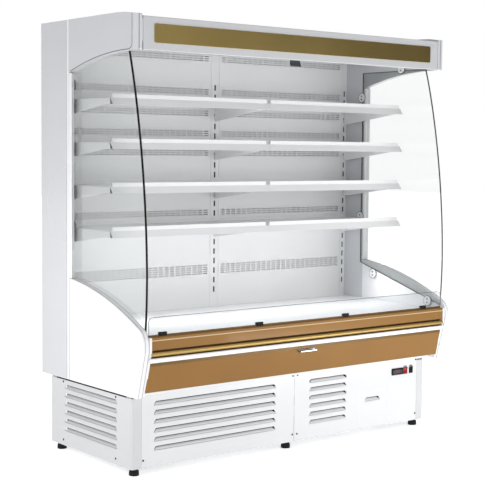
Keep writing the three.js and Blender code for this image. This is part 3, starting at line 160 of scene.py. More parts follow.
class Effects:
    """The shader node groups that several finishes share."""

    def __init__(self) -> None:
        """Builds each group once."""
        self.peel = self._peel()
        self.wear = self._wear()
        self.haze = self._haze()
        self.brush = self._brush()
        self.weave = self._weave()

    @staticmethod
    def _peel() -> Tree:
        """Fine orange-peel height of powder coat and moulded plastic.

        Returns:
            The node group.
        """
        group = NodeGroup("peel_height", "Height", Scale=450.0)
        noise = group.node("ShaderNodeTexNoise", {"Detail": 2.0, "Roughness": 0.45})
        return group.wired(
            (group.inputs, "Vector", noise, "Vector"), (group.inputs, "Scale", noise, "Scale"),
            (noise, "Fac", group.outputs, "Height"),
        )

    @staticmethod
    def _wear() -> Tree:
        """Mask that is 1 on rubbed outer edges and 0 on flats.

        Returns:
            The node group.
        """
        group = NodeGroup("edge_wear", "Mask", Width=0.002, Amount=0.5)
        bevel = group.node("ShaderNodeBevel", samples=4)
        geometry = group.node("ShaderNodeNewGeometry")
        dot = group.node("ShaderNodeVectorMath", operation="DOT_PRODUCT")
        edge = group.node("ShaderNodeMapRange", {"From Min": 0.995, "From Max": 0.86})
        noise = group.node("ShaderNodeTexNoise", {"Scale": 60.0, "Detail": 5.0})
        spots = group.node("ShaderNodeMapRange", {"From Min": 0.45, "From Max": 0.7})
        both = group.node("ShaderNodeMath", operation="MULTIPLY")
        amount = group.node("ShaderNodeMath", operation="MULTIPLY")
        return group.wired(
            (group.inputs, "Width", bevel, "Radius"), (bevel, "Normal", dot, 0),
            (geometry, "Normal", dot, 1), (dot, "Value", edge, "Value"),
            (group.inputs, "Vector", noise, "Vector"), (noise, "Fac", spots, "Value"),
            (edge, "Result", both, 0), (spots, "Result", both, 1), (both, "Value", amount, 0),
            (group.inputs, "Amount", amount, 1), (amount, "Value", group.outputs, "Mask"),
        )

    @staticmethod
    def _haze() -> Tree:
        """Broad cloudy variation, for wiped surfaces and settled dust.

        Returns:
            The node group.
        """
        group = NodeGroup("wiped_haze", "Value", Scale=3.0, Low=0.3, High=0.4)
        noise = group.node("ShaderNodeTexNoise", {"Detail": 1.0, "Roughness": 0.5})
        spread = group.node("ShaderNodeMapRange", {"From Min": 0.2, "From Max": 0.8})
        return group.wired(
            (group.inputs, "Vector", noise, "Vector"), (group.inputs, "Scale", noise, "Scale"),
            (noise, "Fac", spread, "Value"), (group.inputs, "Low", spread, "To Min"),
            (group.inputs, "High", spread, "To Max"), (spread, "Result", group.outputs, "Value"),
        )

    @staticmethod
    def _brush() -> Tree:
        """Fine drawn lines along X.

        Returns:
            The node group.
        """
        group = NodeGroup("drawn_lines", "Lines", Scale=900.0)
        mapping = group.node("ShaderNodeMapping", {"Scale": (0.004, 1.0, 1.0)})
        noise = group.node("ShaderNodeTexNoise", {"Detail": 3.0})
        return group.wired(
            (group.inputs, "Vector", mapping, "Vector"), (mapping, "Vector", noise, "Vector"),
            (group.inputs, "Scale", noise, "Scale"), (noise, "Fac", group.outputs, "Lines"),
        )

    @staticmethod
    def _weave() -> Tree:
        """Height of a plain weave in the X and Z directions.

        Returns:
            The node group.
        """
        group = NodeGroup("plain_weave", "Height", Scale=400.0)
        warp = group.node("ShaderNodeTexWave", bands_direction="X")
        weft = group.node("ShaderNodeTexWave", bands_direction="Z")
        top = group.node("ShaderNodeMath", operation="MAXIMUM")
        return group.wired(
            *((group.inputs, key, wave, key) for wave in (warp, weft) for key in ("Vector", "Scale")),
            (warp, "Fac", top, 0), (weft, "Fac", top, 1), (top, "Value", group.outputs, "Height"),
        )


# ---------------------------------------- finishes

BUMP_REACH = 0.0006  # metres of relief at full strength
COAT_ROUGHNESS = 0.08
TINT_SHARE = 1.7  # how much finer the colour's clouds are than the roughness's


class ShaderBench:
    """One material in the making: its tree, its shader and the effects placed in it."""

    def __init__(self, name: str, values: dict[str, object]) -> None:
        """Starts a node material.

        Args:
            name: Name of the material.
            values: Plain values of the shader's sockets.
        """
        self.material = bpy.data.materials.new(name)
        self.material.use_nodes = True
        self.tree = self.material.node_tree
        self.shader = self.tree.nodes["Principled BSDF"]
        for key, value in values.items():
            self.shader.inputs[key].default_value = value
        self.place = self.tree.nodes.new("ShaderNodeTexCoord")

    def effect(self, group: Tree, **values: float) -> Node:
        """Places a shared group with its own values.

        Args:
            group: The group.
            values: Values of its inputs.

        Returns:
            The new node.
        """
        node = add_node(self.tree, "ShaderNodeGroup", values, node_tree=group)
        wire(self.tree, (self.place, "Object", node, "Vector"))
        return node

    def mix(self, factor: Node, output: str, values: dict[str, object]) -> Node:
        """Adds a colour mix driven by an effect.

        Args:
            factor: The effect.
            output: Its output.
            values: The plain colours of the mix.

        Returns:
            The new node.
        """
        node = add_node(self.tree, "ShaderNodeMix", values, data_type="RGBA")
        wire(self.tree, (factor, output, node, "Factor"))
        return node


@dataclass(frozen=True)
class Finish:
    """A surface finish: plain shader values plus the shared effects over them."""

    name: str
    slot: str
    color: Point3
    alt_color: Point3
    metallic: float = 0.0
    rough: Point2 = (0.3, 0.4)
    haze_scale: float = 2.5
    peel_scale: float = 450.0
    peel: float = 0.02
    coat: float = 0.0
    lines: float = 0.0
    weave: float = 0.0
    glow: float = 0.0
    specular: float = 0.5
    wear: float = 0.0
    wear_width: float = 0.002
    wear_color: Point3 = (0.5, 0.5, 0.5)

    def build(self, effects: Effects) -> bpy.types.Material:
        """Makes the material.

        Args:
            effects: The shared node groups.

        Returns:
            The new material.
        """
        work = ShaderBench(self.name, {
            "Metallic": self.metallic, "Coat Weight": self.coat, "Coat Roughness": COAT_ROUGHNESS,
            "Emission Strength": self.glow, "Specular IOR Level": self.specular,
        })
        haze = work.effect(effects.haze, Scale=self.haze_scale, Low=self.rough[0], High=self.rough[1])
        tint = work.effect(effects.haze, Scale=self.haze_scale * TINT_SHARE, Low=0.0, High=1.0)
        color = work.mix(tint, "Value", {"A": (*self.color, 1.0), "B": (*self.alt_color, 1.0)})
        if self.wear:
            mask = work.effect(effects.wear, Width=self.wear_width, Amount=self.wear)
            worn = work.mix(mask, "Mask", {"B": (*self.wear_color, 1.0)})
            wire(work.tree, (color, "Result", worn, "A"))
            color = worn
        if self.weave:
            group, output, strength = effects.weave, "Height", self.weave
        elif self.lines:
            group, output, strength = effects.brush, "Lines", self.lines
        else:
            group, output, strength = effects.peel, "Height", self.peel
        bump = add_node(work.tree, "ShaderNodeBump", {"Distance": BUMP_REACH, "Strength": strength})
        relief = work.effect(group, Scale=self.peel_scale)
        wire(
            work.tree, (haze, "Value", work.shader, "Roughness"),
            (color, "Result", work.shader, "Base Color"),
            (relief, output, bump, "Height"), (bump, "Normal", work.shader, "Normal"),
        )
        return work.material


@dataclass(frozen=True)
class GlassFinish:
    """Clear sheet with plain transmission and a faint wiped haze."""

    name: str
    slot: str
    color: Point3
    ior: float = 1.45

    def build(self, effects: Effects) -> bpy.types.Material:
        """Makes the material.

        Args:
            effects: The shared node groups.

        Returns:
            The new material.
        """
        work = ShaderBench(self.name, {
            "Base Color": (*self.color, 1.0), "Metallic": 0.0, "Transmission Weight": 1.0, "IOR": self.ior,
        })
        haze = work.effect(effects.haze, Scale=4.0, Low=0.0, High=0.02)
        wire(work.tree, (haze, "Value", work.shader, "Roughness"))
        return work.material


WHITE = Finish(
    "white_enamel", "white_enamel", (0.81, 0.815, 0.83), (0.79, 0.80, 0.82),
    rough=(0.24, 0.34), peel=0.03, coat=0.25,
)
INNER_WHITE = Finish(
    "inner_white_enamel", "white_enamel", (0.84, 0.845, 0.85), (0.82, 0.83, 0.84),
    rough=(0.3, 0.42), peel=0.03,
)
PANEL_WHITE = Finish(
    "panel_white", "white_enamel", (0.82, 0.825, 0.84), (0.80, 0.81, 0.83),
    rough=(0.26, 0.36), peel=0.03, coat=0.2,
)
# Painted shade: the fascia's white enamel, darkened for the dimmer light high on the cabinet.
FASCIA_SHADED = Finish(
    "fascia_enamel", "white_enamel", (0.55, 0.555, 0.57), (0.535, 0.545, 0.565),
    rough=(0.3, 0.4), peel=0.02, coat=0.15,
)
GREY = Finish(
    "grey_enamel", "grey_enamel", (0.61, 0.62, 0.64), (0.59, 0.605, 0.63),
    rough=(0.25, 0.36), peel=0.02, coat=0.2,
)
BASE_WHITE = Finish(
    "base_white", "white_enamel", (0.71, 0.715, 0.73), (0.69, 0.70, 0.715),
    rough=(0.3, 0.42), peel=0.02, coat=0.1,
)
# Painted shade: the base's white, darkened on the side sheets that sit back under the side panels' overhang.
BASE_SIDE_SHADED = Finish(
    "base_side_white", "white_enamel", (0.60, 0.605, 0.62), (0.58, 0.59, 0.605),
    rough=(0.3, 0.42), peel=0.02, coat=0.1,
)
FOAM_SHELL = Finish(
    "shell_skin", "foam_shell", (0.78, 0.79, 0.80), (0.75, 0.765, 0.78),
    rough=(0.3, 0.42), peel=0.06,
)
GOLD = Finish(
    "gold_lacquer", "gold_lacquer", (0.268, 0.133, 0.032), (0.25, 0.123, 0.029),
    metallic=0.12, rough=(0.38, 0.48), peel_scale=1400.0, peel=0.05, coat=0.1, specular=0.2,
)
# Painted shade: a darker copy of the gold, for the band under the bumper and the line under the riser.
GOLD_SHADED = Finish(
    "gold_painted_shade", "gold_lacquer", (0.15, 0.085, 0.022), (0.13, 0.07, 0.018),
    metallic=0.35, rough=(0.38, 0.48), peel_scale=1400.0, peel=0.05,
)
# Painted highlight: a light gold that stands in for the sheen on the upper panel's top fold.
GOLD_FOLD_HIGHLIGHT = Finish(
    "gold_painted_fold_highlight", "gold_lacquer", (0.70, 0.52, 0.32), (0.64, 0.47, 0.28),
    metallic=0.2, rough=(0.3, 0.4), peel_scale=900.0, lines=0.04,
)
GOLD_RAIL = Finish(
    "gold_rail", "gold_rail", (0.46, 0.31, 0.10), (0.42, 0.28, 0.09),
    metallic=0.7, rough=(0.34, 0.44), peel_scale=900.0, lines=0.06,
)
GOLD_STRIP = Finish(
    "gold_strip", "gold_strip", (0.62, 0.46, 0.17), (0.58, 0.42, 0.15),
    metallic=0.95, rough=(0.16, 0.2), peel_scale=1400.0, lines=0.02,
)
BUMPER = Finish(
    "bumper_white", "bumper_white", (0.92, 0.92, 0.925), (0.90, 0.90, 0.905),
    rough=(0.3, 0.42), peel_scale=700.0, peel=0.04, wear=0.35, wear_color=(0.66, 0.66, 0.66),
)
BLACK = Finish(
    "black_plastic", "black_plastic", (0.010, 0.010, 0.011), (0.015, 0.015, 0.016),
    rough=(0.45, 0.58), haze_scale=20.0, peel_scale=1500.0, peel=0.12, specular=0.12, wear=0.4,
    wear_width=0.0008, wear_color=(0.05, 0.05, 0.05),
)
RED = Finish(
    "red_plastic", "red_plastic", (0.34, 0.012, 0.018), (0.29, 0.010, 0.016),
    rough=(0.12, 0.2), haze_scale=30.0, peel=0.01, coat=0.5,
)
LABEL_RED = Finish(
    "label_red", "red_plastic", (0.16, 0.015, 0.022), (0.13, 0.012, 0.018),
    rough=(0.4, 0.5), haze_scale=30.0, peel=0.01,
)
STEEL = Finish(
    "bright_steel", "bright_steel", (0.56, 0.57, 0.58), (0.50, 0.51, 0.52),
    metallic=0.95, rough=(0.22, 0.36), haze_scale=25.0, lines=0.12,
)
ZINC = Finish(
    "galvanised", "galvanised", (0.50, 0.52, 0.53), (0.38, 0.40, 0.42),
    metallic=0.85, rough=(0.35, 0.55), haze_scale=28.0, peel=0.1,
)
ALUMINIUM = Finish(
    "mill_aluminium", "aluminium", (0.68, 0.69, 0.70), (0.60, 0.61, 0.62),
    metallic=0.9, rough=(0.3, 0.42), haze_scale=12.0, lines=0.1,
)
COPPER = Finish(
    "copper_tube", "aluminium", (0.62, 0.29, 0.16), (0.46, 0.20, 0.11),
    metallic=0.95, rough=(0.26, 0.45), haze_scale=30.0, peel=0.05,
)
FAN = Finish(
    "fan_plastic", "fan_plastic", (0.022, 0.022, 0.024), (0.04, 0.04, 0.04),
    rough=(0.4, 0.6), haze_scale=14.0, peel_scale=1200.0, peel=0.1,
)
COMPRESSOR = Finish(
    "compressor_enamel", "compressor_paint", (0.012, 0.012, 0.013), (0.028, 0.028, 0.03),
    rough=(0.3, 0.5), haze_scale=10.0, peel=0.12, wear=0.3, wear_color=(0.12, 0.11, 0.10),
)
LAMP = Finish(
    "opal_diffuser", "lamp_white", (0.90, 0.90, 0.87), (0.86, 0.86, 0.83),
    rough=(0.3, 0.4), haze_scale=8.0, peel=0.02,
)
CLOTH = Finish(
    "blind_cloth", "blind_fabric", (0.56, 0.57, 0.56), (0.50, 0.51, 0.50),
    rough=(0.75, 0.85), haze_scale=6.0, peel_scale=420.0, weave=0.5,
)
SEAL_BLACK = Finish(
    "seal_black", "black_plastic", (0.006, 0.006, 0.006), (0.010, 0.010, 0.010),
    rough=(0.5, 0.6), haze_scale=20.0, peel=0.05, specular=0.12,
)
SEAL_GREY = Finish(
    "seal_grey", "black_plastic", (0.075, 0.08, 0.085), (0.06, 0.065, 0.07),
    rough=(0.45, 0.55), haze_scale=20.0, peel=0.05, specular=0.2,
)
# Painted shade: grey for the shading lines along the side panels' top edges.
EDGE_SHADE_LINE = Finish(
    "mould_line", "grey_enamel", (0.40, 0.41, 0.43), (0.38, 0.39, 0.41),
    rough=(0.5, 0.6), haze_scale=20.0, peel=0.02, specular=0.2,
)
# Painted shadow: dark grey for the end cap's groove line.
CAP_SHADOW_LINE = Finish(
    "cap_groove", "grey_enamel", (0.20, 0.21, 0.22), (0.18, 0.19, 0.20),
    rough=(0.5, 0.6), haze_scale=20.0, peel=0.02, specular=0.2,
)
CLEAR = GlassFinish("clear_glass", "clear_glass", (0.975, 0.99, 0.985))
CLEAR_RISER = GlassFinish("clear_riser", "clear_riser", (0.80, 0.815, 0.825))
DISPLAY = Finish(
    "display_window", "black_plastic", (0.035, 0.006, 0.008), (0.03, 0.005, 0.007),
    rough=(0.06, 0.12), haze_scale=30.0, peel=0.0, coat=0.6,
)

FLOOR = Finish(
    "studio_paper", "white_enamel", (0.92, 0.92, 0.92), (0.91, 0.91, 0.91),
    rough=(0.8, 0.9), haze_scale=0.6, peel=0.0, glow=0.6,
)

AnyFinish = Finish | GlassFinish


class Paintbox:
    """Makes each finish's material once and hands it out."""

    def __init__(self) -> None:
        """Builds the shared effects."""
        self.effects = Effects()
        self.made: dict[str, bpy.types.Material] = {}

    def material(self, finish: AnyFinish) -> bpy.types.Material:
        """The material of a finish, made on first use."""
        if finish.name not in self.made:
            self.made[finish.name] = finish.build(self.effects)
        return self.made[finish.name]


# ---------------------------------------- mesh tools, in millimetres


def lay(axis: Axis, along: float, u: float, v: float) -> Vector:
    """A point from its place along an axis and its two outline coordinates."""
    point = Vector((0.0, 0.0, 0.0))
    w_index, u_index, v_index = axis.value
    point[w_index], point[u_index], point[v_index] = along, u, v
    return point


def step_along(axis: Axis, length: float) -> Vector:
    """A vector of a length along an axis."""
    return lay(axis, length, 0.0, 0.0)


def prism(outline: Sequence[Point2], axis: Axis, lo: float, hi: float) -> Mesh:
    """Closed prism from an outline.

    Args:
        outline: Corners in the axis's two outline coordinates.
        axis: Direction of extrusion.
        lo: Start along the axis.
        hi: End along the axis.

    Returns:
        The new mesh.
    """
    bm = bmesh.new()
    bm.faces.new([bm.verts.new(lay(axis, lo, u, v)) for u, v in outline])
    return pull(bm, axis, hi - lo)


def sheet_metal(
    path: Sequence[Point2], axis: Axis, lo: float, hi: float, gauge: float, bend: float,
    ease: int = 3,
) -> Mesh:
    """Folded sheet: a path pulled along an axis, with rounded folds and a real thickness.

    Args:
        path: The fold line's corners, on the sheet's outer face.
        axis: Direction in which the folds run.
        lo: Start along the axis.
        hi: End along the axis.
        gauge: Sheet thickness, to the path's right; negative for its left.
        bend: Size of each rounded fold.
        ease: Segments of each fold.

    Returns:
        The new mesh.
    """
    bm = bmesh.new()
    verts = [bm.verts.new(lay(axis, lo, u, v)) for u, v in path]
    edges = [bm.edges.new(pair) for pair in zip(verts, verts[1:])]
    grown = ops.extrude_edge_only(bm, edges=edges)
    moved = [item for item in grown["geom"] if isinstance(item, bmesh.types.BMVert)]
    ops.translate(bm, verts=moved, vec=step_along(axis, hi - lo))
    folds = [edge for edge in bm.edges if len(edge.link_faces) == 2]
    if folds and bend > 0:
        ops.bevel(
            bm, geom=folds, offset=bend, segments=ease, profile=0.5, affect="EDGES", material=-1,
        )
    thicken(bm, gauge)
    return bm


def thicken(bm: Mesh, gauge: float) -> None:
    """Gives an open sheet a wall and points its faces outwards."""
    ops.solidify(bm, geom=bm.faces[:], thickness=gauge)
    ops.recalc_face_normals(bm, faces=bm.faces[:])


def box(lo: Point3, hi: Point3) -> Mesh:
    """A block between two corners."""
    bm = bmesh.new()
    ops.create_cube(bm, size=1.0)
    size = Vector(hi) - Vector(lo)
    ops.scale(bm, vec=size, verts=bm.verts[:])
    ops.translate(bm, vec=(Vector(hi) + Vector(lo)) / 2, verts=bm.verts[:])
    return bm


def turned(
    profile: Sequence[Point2], centre: Point3, axis: Axis = Axis.Z, sides: int = 32,
) -> Mesh:
    """Turned piece: a (radius, height) profile spun about an axis through centre.

    Args:
        profile: Radius and height of each corner; closed on the axis at both ends.
        centre: Where height 0 lies.
        axis: Axis of turning.
        sides: Steps of the full turn.

    Returns:
        The new mesh.
    """
    bm = bmesh.new()
    verts = [bm.verts.new((radius, 0.0, height)) for radius, height in profile]
    edges = [bm.edges.new(pair) for pair in zip(verts, verts[1:])]
    ops.spin(
        bm, geom=verts + edges, cent=(0, 0, 0), axis=(0, 0, 1), angle=math.tau, steps=sides,
        use_merge=True, use_duplicate=False,
    )
    ops.remove_doubles(bm, verts=bm.verts[:], dist=1e-4)
    turn = {
        Axis.X: Matrix.Rotation(math.pi / 2, 3, "Y"),
        Axis.Y: Matrix.Rotation(-math.pi / 2, 3, "X"),
        Axis.Z: Matrix.Identity(3),
    }[axis]
    ops.rotate(bm, cent=(0, 0, 0), matrix=turn, verts=bm.verts[:])
    ops.translate(bm, vec=centre, verts=bm.verts[:])
    ops.recalc_face_normals(bm, faces=bm.faces[:])
    return bm


def rod(axis: Axis, centre: Point3, radius: float, length: float, sides: int = 24) -> Mesh:
    """A round bar with its middle at centre."""
    half = length / 2
    return turned([(0, -half), (radius, -half), (radius, half), (0, half)], centre, axis, sides)


def soften(
    bm: Mesh, width: float, segments: int = 2, angle: float = 30.0,
    where: Callable[[bmesh.types.BMEdge], bool] | None = None,
) -> Mesh:
    """Rounds the sharp edges.

    Args:
        bm: The mesh.
        width: Size of the rounding.
        segments: Steps of the rounding.
        angle: Edges that turn less than this, in degrees, are left.
        where: Optional test that an edge must pass.

    Returns:
        The same mesh.
    """
    limit = math.radians(angle)
    edges = [
        edge for edge in bm.edges
        if len(edge.link_faces) == 2 and edge.calc_face_angle(0.0) > limit and (where is None or where(edge))
    ]
    ops.bevel(
        bm, geom=edges, offset=width, segments=segments, profile=0.5, affect="EDGES",
        clamp_overlap=True, material=-1,
    )
    return bm


def together(parts: Iterable[Mesh]) -> Mesh:
    """Gathers separate closed shells in one mesh and frees the sources."""
    whole = bmesh.new()
    for part in parts:
        scratch = bpy.data.meshes.new("scratch")
        part.to_mesh(scratch)
        whole.from_mesh(scratch)
        bpy.data.meshes.remove(scratch)
        part.free()
    return whole


def handed(bm: Mesh, side: Side) -> Mesh:
    """Mirrors a right-hand mesh for the left side."""
    if side is Side.LEFT:
        ops.scale(bm, vec=(-1, 1, 1), verts=bm.verts[:])
        ops.reverse_faces(bm, faces=bm.faces[:])
    return bm


def arc(a: Point2, b: Point2, radius: float, steps: int) -> list[Point2]:
    """Points of the arc from a to b that bulges to its left.

    Args:
        a: First point.
        b: Last point.
        radius: Arc radius.
        steps: Number of chords.

    Returns:
        The points, both ends included.
    """
    start, end = Vector(a), Vector(b)
    chord = end - start
    half = math.asin(chord.length / 2 / radius)
    left = Vector((-chord.y, chord.x)).normalized()
    centre = (start + end) / 2 - left * math.sqrt(radius**2 - chord.length_squared / 4)
    along = chord.normalized()
    points = []
    for i in range(steps + 1):
        angle = half - 2 * half * i / steps
        point = centre - along * math.sin(angle) * radius + left * math.cos(angle) * radius
        points.append((point.x, point.y))
    return points


def curve(a: Point2, b: Point2, c: Point2, d: Point2, steps: int) -> list[Point2]:
    """Points of a cubic Bezier curve, both ends included."""
    out = []
    for i in range(steps + 1):
        t = i / steps
        s = 1 - t
        weights = (s**3, 3 * s * s * t, 3 * s * t * t, t**3)
        out.append(tuple(sum(w * p[k] for w, p in zip(weights, (a, b, c, d))) for k in (0, 1)))
    return out


def round_points(u: float, v: float, radius: float, degrees: Iterable[float]) -> list[Point2]:
    """Points round the centre (u, v) at the given angles in degrees."""
    turns = [math.radians(angle) for angle in degrees]
    return [(u + radius * math.cos(turn), v + radius * math.sin(turn)) for turn in turns]


def side_span(side: Side, near: float, far: float) -> list[float]:
    """Two places along X on one side, in rising order."""
    return sorted((side.value * near, side.value * far))


def rounded(u0: float, u1: float, v0: float, v1: float, radius: float, steps: int = 5) -> list[Point2]:
    """Outline of a rectangle with round corners."""
    corners = ((u1 - radius, v0 + radius, -90), (u1 - radius, v1 - radius, 0),
               (u0 + radius, v1 - radius, 90), (u0 + radius, v0 + radius, 180))
    return [
        point for u, v, start in corners
        for point in round_points(u, v, radius, (start + 90 * i / steps for i in range(steps + 1)))
    ]


# ---------------------------------------- the bench


class Bench:
    """Turns finished meshes into dressed pieces that ride on the frame."""

    def __init__(self) -> None:
        """Starts with an empty list of pieces."""
        self.paint = Paintbox()
        self.count = 0

    def piece(
        self, name: str, bm: Mesh, finish: AnyFinish, body: str | None = CABINET,
        replaces: Sequence[str] = (), sharp: float = 32.0, side: Side | None = None,
    ) -> bpy.types.Object:
        """Makes one finished piece.

        Args:
            name: Name of the object.
            bm: Its mesh in millimetres, which is freed.
            finish: Its finish.
            body: The CAD body it rides on; None for cloth that is blended between two.
            replaces: CAD nodes it stands for.
            sharp: Edges that turn more than this, in degrees, stay crisp.
            side: For a handed piece, its side: the mesh is then the right-hand one, and the
                side's word ends the names of the piece and of its CAD nodes.

        Returns:
            The new object.
        """
        if side:
            handed(bm, side)
            name = f"{name}_{side.word}"
            replaces = [f"{node}_{side.word}" for node in replaces]
        ops.scale(bm, vec=(MM, MM, MM), verts=bm.verts[:])
        mesh = bpy.data.meshes.new(name)
        bm.to_mesh(mesh)
        bm.free()
        mesh.polygons.foreach_set("use_smooth", [True] * len(mesh.polygons))
        mesh.set_sharp_from_angle(angle=math.radians(sharp))
        mesh.materials.append(self.paint.material(finish))
        obj = bpy.data.objects.new(name, mesh)
        bpy.context.scene.collection.objects.link(obj)
        if sharp > FLAT:
            weighted = obj.modifiers.new("weighted_normals", "WEIGHTED_NORMAL")
            weighted.keep_sharp = True
        if body:
            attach(obj, body)
        if replaces:
            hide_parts(*replaces)
        self.count += 1
        log.info("piece %s: %d faces on %s", name, len(mesh.polygons), body)
        return obj

    def dress(self, nodes: dict[str, bpy.types.Object], name: str, finish: AnyFinish) -> None:
        """Gives a CAD node that keeps its own mesh a finished material.

        Args:
            nodes: The frame's nodes.
            name: The node.
            finish: Its finish.
        """
        obj = nodes[name]
        if not obj.material_slots:
            obj.data.materials.append(None)
        for material_slot in obj.material_slots:
            material_slot.link = "OBJECT"
            material_slot.material = self.paint.material(finish)
        log.info("CAD node %s dressed in %s", name, finish.name)


# ---------------------------------------- shared planes of the cabinet


@dataclass(frozen=True)
class Planes:
    """Planes that several sub-assemblies meet at, as the CAD frame has them."""

    half: float = 960.0
    inner: float = 930.0
    back: float = 450.0
    front: float = -450.0
    top: float = 2050.0
    roof: float = 2045.0
    base_top: float = 373.0
    tub_floor: float = 418.0
    panel_y: float = 332.0
    insulation_y: float = 405.0
    side_front: float = 183.0
    fascia_y: float = -369.0
    fascia_top: float = 2029.0
    fascia_bottom: float = 1883.0
    canopy_rear: float = -217.0
    light_box_z: float = 1925.0
    front_top: float = 646.0
    deck_top: float = 638.0
    tub_front: float = -412.0
    ceiling: float = 1946.0
    deck_lap: float = 17.5
    seat: float = 0.3


P = Planes()


# ---------------------------------------- side walls


POST_OFFSET = 7.0  # from a glass clamp's middle to its post's


@dataclass
class SideWall:
    """End wall with its bead, moulded nose and rear glass clamps."""

    side: Side
    strip: float = 1.0
    groove: float = 22.0
    groove_depth: float = 3.0
    nose: tuple[Point2, ...] = (
        (0.0, 0.0), (6.0, 7.0), (12.0, 9.5), (14.0, 9.5), (15.5, 12.5), (23.0, 19.0), (25.5, 19.5),
        (28.5, 17.0), (30.0, 11.0), (30.0, 0.0),
    )
    corner: float = 14.0
    nose_low: float = 854.6
    nose_high: float = 1804.9
    clamp_places: tuple[Point2, ...] = ((201.0, 1754.0), (201.0, 1094.0))

    def wall(self) -> Mesh:
        """The square wall with the recess that its bead lies in.

        Returns:
            The mesh, for the right side.
        """
        y = P.side_front
        cut = y + self.strip
        plan = [
            (P.inner, y), (P.half, y), (P.half, cut), (P.half - self.groove_depth, cut),
            (P.half - self.groove_depth, cut + self.groove), (P.half, cut + self.groove),
            (P.half, P.back), (P.inner, P.back),
        ]
        bm = prism(plan, Axis.Z, P.base_top, P.top)
        soften(bm, self.corner, 5, 60, lambda e: all(
            v.co.x > P.half - 1 and v.co.y > P.back - 1 for v in e.verts))
        return soften(bm, 0.9, 2, 40)

    def bead(self) -> Mesh:
        """Bright bowed bead that lies in the recess.

        Returns:
            The mesh, for the right side.
        """
        middle = P.side_front + self.strip + self.groove / 2
        reach = self.groove / 2 - 0.4
        root = P.half - self.groove_depth - 0.1
        steps = 10
        bow = [
            (root + 3.0 * math.sin(math.pi * i / steps), middle - reach * math.cos(math.pi * i / steps))
            for i in range(steps + 1)
        ]
        return prism(bow, Axis.Z, P.base_top + 0.5, P.top - 0.5)

    def nose_strip(self) -> Mesh:
        """The moulded nose on the wall's front edge: a lip outside, sloping back to the glass."""
        plan = [(P.inner + across, P.side_front - 0.05 - ahead) for across, ahead in self.nose]
        return soften(prism(plan, Axis.Z, self.nose_low, self.nose_high), 0.8, 2, 12)

    def build(self, bench: Bench) -> None:
        """Makes the wall's pieces."""
        bench.piece(
            "wall", self.wall(), GREY, side=self.side, replaces=["side_wall"],
        )
        bench.piece("wall_nose", self.nose_strip(), WHITE, side=self.side)
        bench.piece("wall_bead", self.bead(), WHITE, side=self.side)
        for i, (y, z) in enumerate(self.clamp_places):
            GlassClamp(self.side, y, z, y + POST_OFFSET, z).build(bench, f"rear_{i + 1}")


@dataclass
class GlassClamp:
    """Disc clamp on the inner face of the side glass, with its two screws and its post."""

    side: Side
    y: float
    z: float
    post_y: float
    post_z: float
    radius: float = 25.0
    face: float = 923.4
    sheet: float = 3.0
    post: float = 7.0
    lap: float = 2.6
    screw_lift: float = 9.0

    def build(self, bench: Bench, word: str) -> None:
        """Makes the disc and its screws.

        Args:
            bench: The bench.
            word: Ending of the names.
        """
        side = self.side
        inner = self.face - self.sheet
        disc = turned(
            [(0, 0), (self.radius, 0), (self.radius, 1.6), (self.radius - 1.4, self.sheet), (0, self.sheet)],
            (self.face, self.y, self.z), Axis.X, 40,
        )
        ops.scale(disc, vec=(-1, 1, 1), space=Matrix.Translation((-self.face, 0, 0)), verts=disc.verts[:])
        ops.recalc_face_normals(disc, faces=disc.faces[:])
        middle = (inner + P.inner) / 2
        post = rod(Axis.X, (middle, self.post_y, self.post_z), self.post, P.inner - inner - 0.5, 20)
        name = f"glass_clamp_{side.word}_{word}"
        bench.piece(name, handed(together([disc, post]), side), INNER_WHITE)
        gasket = rod(Axis.X, (self.face - 0.5, self.y, self.z), self.radius + self.lap, 0.8, 40)
        bench.piece(f"{name}_gasket", handed(gasket, side), SEAL_GREY)
        screws = []
        for lift in (-self.screw_lift, self.screw_lift):
            screws.append(turned(
                [(0, -1.6), (3.4, -1.6), (4.4, 0.2), (0, 0.2)], (inner, self.y, self.z + lift), Axis.X, 14,
            ))
        bench.piece(f"{name}_screws", handed(together(screws), side), SEAL_GREY)


# ---------------------------------------- lower side panels


